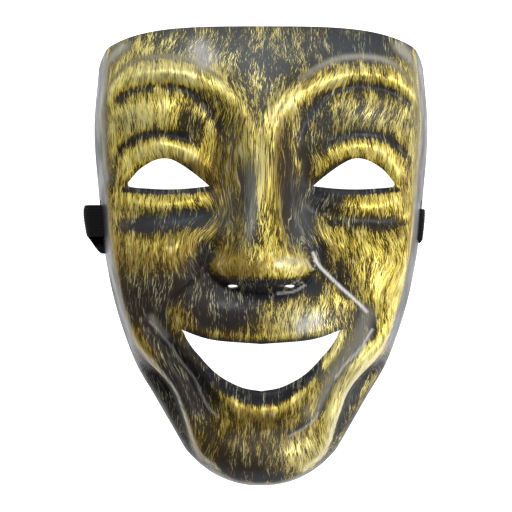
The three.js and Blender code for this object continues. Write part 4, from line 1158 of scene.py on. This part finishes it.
def strapPiece(webbing):
    # from the left end's stitches to the right end's, facing the table on the long flat run
    left, right = (strapLine(end) for end in strap["ends"])
    places, facing, beyond = (np.vstack([a[::-1], b[1:]]) for a, b in zip(left[:3], right[:3]))
    run = np.concatenate([-left[3][::-1], right[3][1:]])
    v = np.linspace(-1, 1, strap["across"])
    half = strap["thickness"] / 2
    edge = strap["thickness"] / strap["width"]
    rounding = np.sqrt(np.clip(1 - (np.maximum(np.abs(v) - 1 + edge, 0) / edge)**2, 0, 1))
    ribbing = strap["ribDepth"] * (0.5 + 0.5 * np.cos(math.pi * strap["ribs"] * (v + 1)))
    height = np.maximum(half * rounding - ribbing * rounding, strap["least"])
    vs = np.concatenate([v, v[::-1]])
    n, m = len(places), len(vs)
    grid = np.repeat(places[:, None, :], m, axis=1)
    grid[:, :, 1] += vs * strap["width"] / 2
    grid += facing[:, None, :] * np.concatenate([height, -height[::-1]])[None, :, None]
    grid[:, :, 0] -= (beyond[:, :1] * ((1 - vs) / 2)**strap["taperPower"]
                      + beyond[:, 1:] * ((1 + vs) / 2)**strap["cornerPower"])
    faces = []
    for start in range(0, (n - 1) * m, m):
        for j in range(m):
            k = (j + 1) % m
            faces.append((start + j, start + m + j, start + m + k, start + k))
    last = (n - 1) * m
    for j in range(strap["across"] - 1):
        faces.append((j, j + 1, m - 2 - j, m - 1 - j))
        faces.append((last + j, last + m - 1 - j, last + m - 2 - j, last + j + 1))
    made = meshObject("strap_band", rowPlace(grid.reshape(-1, 3)), faces, [webbing])
    weave = np.column_stack([np.repeat(run, m), np.tile(vs * strap["width"] / 2, n), np.zeros(n * m)])
    pointAttribute(made, "weave", weave)
    print("strap", len(made.data.polygons), "faces")
    return made


def slotCutter():
    # one box through each side wall
    slot = strap["slot"]
    ys, zs = ((slot[key] - slot[size] / 2, slot[key] + slot[size] / 2)
              for key, size in (("y", "length"), ("z", "height")))
    work = bmesh.new()
    for side in (-1, 1):
        corners = [(side * x, y, z) for x in (slot["near"], slot["far"]) for y in ys for z in zs]
        made = [work.verts.new(place) for place in rowPlace(np.array(corners))]
        for square in ((0, 1, 3, 2), (4, 6, 7, 5), (0, 4, 5, 1), (2, 3, 7, 6), (0, 2, 6, 4), (1, 5, 7, 3)):
            work.faces.new([made[k] for k in square])
    bmesh.ops.recalc_face_normals(work, faces=work.faces)
    mesh = bpy.data.meshes.new("slots")
    work.to_mesh(mesh)
    work.free()
    return linked("slots", mesh)


def applied(made):
    # the piece as a plain mesh, with its modifiers worked in
    evaluated = made.evaluated_get(bpy.context.evaluated_depsgraph_get())
    mesh = bpy.data.meshes.new_from_object(evaluated)
    made.modifiers.clear()
    old = made.data
    made.data = mesh
    bpy.data.meshes.remove(old)
    return made


def cutSlots(made):
    cutter = slotCutter()
    cutting = made.modifiers.new("slots", "BOOLEAN")
    cutting.operation = "DIFFERENCE"
    cutting.solver = "EXACT"
    cutting.object = cutter
    before = len(made.data.polygons)
    applied(made)
    bpy.data.objects.remove(cutter)
    print("slots cut,", before, "to", len(made.data.polygons), "faces")


def stitchTree():
    # rows of short leaning stitches about a point, each stitch a drawn-out ball
    tree, given, result = newGroup(
        "zigzagStitches", "GeometryNodeTree",
        [("Rows", "Int", 3), ("Per row", "Int", 12), ("Span X", "Float", 0.016), ("Span Y", "Float", 0.011),
         ("Length", "Float", 0.002), ("Thread", "Float", 0.0004), ("Lean", "Float", 0.6),
         ("Middle", "Vector", (0, 0, 0)), ("Thread material", "Material")],
        [("Geometry", "Geometry")])
    spots = node(tree, "GeometryNodeMeshGrid")
    wire(spots.inputs, {"Size X": given("Span X"), "Size Y": given("Span Y"), "Vertices X": given("Per row"),
                        "Vertices Y": given("Rows")})
    ball = single(tree, "GeometryNodeMeshUVSphere", Segments=stitching["segments"], Rings=stitching["rings"],
                  Radius=0.5)
    slim = combined(tree, given("Thread"), given("Length"), given("Thread"))
    stitch = single(tree, "GeometryNodeTransform", Geometry=ball, Scale=slim)
    everyOther = single(tree, "GeometryNodeInputIndex").math("MODULO", 2.0) * 2.0 - 1.0
    laid = single(tree, "GeometryNodeInstanceOnPoints", Points=reader(spots)("Mesh"), Instance=stitch,
                  Rotation=combined(tree, 0.0, 0.0, everyOther * given("Lean")))
    made = single(tree, "GeometryNodeTransform", Geometry=laid, Translation=given("Middle"))
    for kind in ("GeometryNodeRealizeInstances", "GeometryNodeSetShadeSmooth"):
        made = single(tree, kind, Geometry=made)
    coloured = single(tree, "GeometryNodeSetMaterial", Geometry=made, Material=given("Thread material"))
    wire(result, {"Geometry": coloured})
    return tree


def setInputs(modifier, values):
    for item in modifier.node_group.interface.items_tree:
        if item.item_type == "SOCKET" and item.in_out == "INPUT" and item.name in values:
            modifier[item.identifier] = values[item.name]


def stitchPieces(thread):
    tree = stitchTree()
    sizes = {title: stitching[key] * millimetre for title, key in
             (("Span X", "spanX"), ("Span Y", "spanY"), ("Length", "length"), ("Thread", "thread"))}
    pieces = []
    for name, end in zip(("strap_stitches_left", "strap_stitches_right"), strap["ends"]):
        x = rimAt(end) - strap["lapFrom"] - strap["lap"] * stitching["alongLap"]
        z = 2 * strap["thickness"] - stitching["sunk"]
        place = rowPlace(np.array([end["side"] * x, restingY(end, x), z])).tolist()
        made = linked(name, bpy.data.meshes.new(name))
        sewing = made.modifiers.new("stitches", "NODES")
        sewing.node_group = tree
        setInputs(sewing, {"Rows": stitching["rows"], "Per row": stitching["perRow"],
                           "Lean": stitching["lean"], "Middle": place, "Thread material": thread, **sizes})
        pieces.append(applied(made))
    print("stitches", [len(piece.data.polygons) for piece in pieces], "faces")
    return pieces


# The elastic's and the thread's looks: the weave in millimetres, heights of bumps in metres.
elastic = {
    "pick": 0.8,
    "weave": 0.5,
    "fuzz": 6.0,
    "rough": (0.3, 0.7, 0.75, 0.95),
    "shades": [(0.1, (0.0025, 0.0025, 0.0028)), (0.9, (0.0065, 0.0062, 0.0068))],
    "specular": 0.2,
    "bump": 0.00012,
    "twist": 900.0,
    "threadShades": [(0.2, (0.006, 0.006, 0.007)), (0.8, (0.014, 0.014, 0.015))],
    "threadRough": 0.6,
    "threadBump": 0.00005,
}


def blackWebbing():
    material, tree, skin = newMaterial("black elastic webbing")
    weave = attribute(tree, "weave", "Vector")
    parts = reader(node(tree, "ShaderNodeSeparateXYZ", in0=weave))
    ribs = strap["width"] / strap["ribs"] / 2
    along, across = ((parts(axis) * (2 * math.pi / size)).math("SINE")
                     for axis, size in (("X", elastic["pick"]), ("Y", ribs)))
    fuzz = noise(weave, elastic["fuzz"], 3)
    height = along * across * elastic["weave"] + fuzz
    wire(skin, {"Base Color": colourRamp(height, elastic["shades"]),
                "Roughness": spread(fuzz, *elastic["rough"]), "Specular IOR Level": elastic["specular"],
                "Normal": bumps(height, elastic["bump"])})
    return material


def blackThread():
    material, tree, skin = newMaterial("black thread")
    twist = Wire(node(tree, "ShaderNodeTexWave", Vector=objectPlace(tree), Scale=elastic["twist"]).outputs[1])
    wire(skin, {"Base Color": colourRamp(twist, elastic["threadShades"]), "Roughness": elastic["threadRough"],
                "Normal": bumps(twist, elastic["threadBump"])})
    return material


painted = paintedPlastic()
bare = barePlastic()
webbing = blackWebbing()
thread = blackThread()
print("materials made")

maskFace = maskPiece(painted, bare)
cutSlots(maskFace)
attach(maskFace, "root")
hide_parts("mask_shell")

band = strapPiece(webbing)
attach(band, "root")
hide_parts("elastic_strap")

for piece in stitchPieces(thread):
    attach(piece, "root")


# The setting: a pale floor, a soft light from the right, a weaker one from the upper left, and the camera
# straight above. The picture is 512 pixels wide, at 0.525 mm to the pixel on the floor. A light is the way
# to it, how far off it is, its two sizes, its power and its colour. Metres.
setting = {
    "pixel": 0.525 * millimetre,
    "pixels": 512,
    "distance": 1.2,
    "faceMiddle": (261, 256),
    "sensor": 36.0,
    "world": (0.085, 0.086, 0.088),
    "aimHeight": 0.05,
    "lights": {
        "key": ((0.70, -0.04, 0.71), 1.1, (0.42, 0.42), 15, (1.0, 0.99, 0.97)),
        "fill": ((-0.27, 0.56, 0.79), 1.2, (0.30, 0.30), 13, (0.92, 0.96, 1.0)),
    },
    "floorHalf": 2.0,
    "floorGrey": 0.4,
    "floorRough": 0.9,
    "floorGlow": 1.35,
}


def areaLight(name, aim, direction, distance, size, power, colour):
    light = bpy.data.lights.new(name, "AREA")
    light.shape = "RECTANGLE"
    light.size, light.size_y = size
    light.energy = power
    light.color = colour
    made = linked(name, light)
    way = Vector(direction).normalized()
    made.location = Vector(aim) + way * distance
    made.rotation_euler = way.to_track_quat("Z", "Y").to_euler()


def studio():
    scene = bpy.context.scene
    scene.view_settings.view_transform = "Standard"
    world = bpy.data.worlds.new("studio")
    world.use_nodes = True
    world.node_tree.nodes["Background"].inputs[0].default_value = (*setting["world"], 1)
    scene.world = world
    shift = rowPlace(np.zeros(3))
    px, py = setting["faceMiddle"]
    middle = setting["pixels"] / 2
    data = bpy.data.cameras.new("camera")
    data.sensor_width = setting["sensor"]
    data.lens = setting["sensor"] * setting["distance"] / (setting["pixels"] * setting["pixel"])
    scene.camera = linked("camera", data)
    scene.camera.location = (shift[0] + (middle - px) * setting["pixel"],
                             shift[1] + (py - middle) * setting["pixel"], setting["distance"])
    for name, light in setting["lights"].items():
        areaLight(name, (shift[0], shift[1], setting["aimHeight"]), *light)
    # the floor glows a little, as a lit table does, so that it stays white under the mask too
    half = setting["floorHalf"]
    material, tree, skin = newMaterial("pale floor")
    wire(skin, {"Base Color": (*[setting["floorGrey"]] * 3, 1), "Roughness": setting["floorRough"],
                "Emission Color": (1, 1, 1, 1), "Emission Strength": setting["floorGlow"]})
    floor = meshObject("floor", [(-half, -half, 0), (half, -half, 0), (half, half, 0), (-half, half, 0)],
                       [(0, 1, 2, 3)], [material])


studio()
print("studio set")
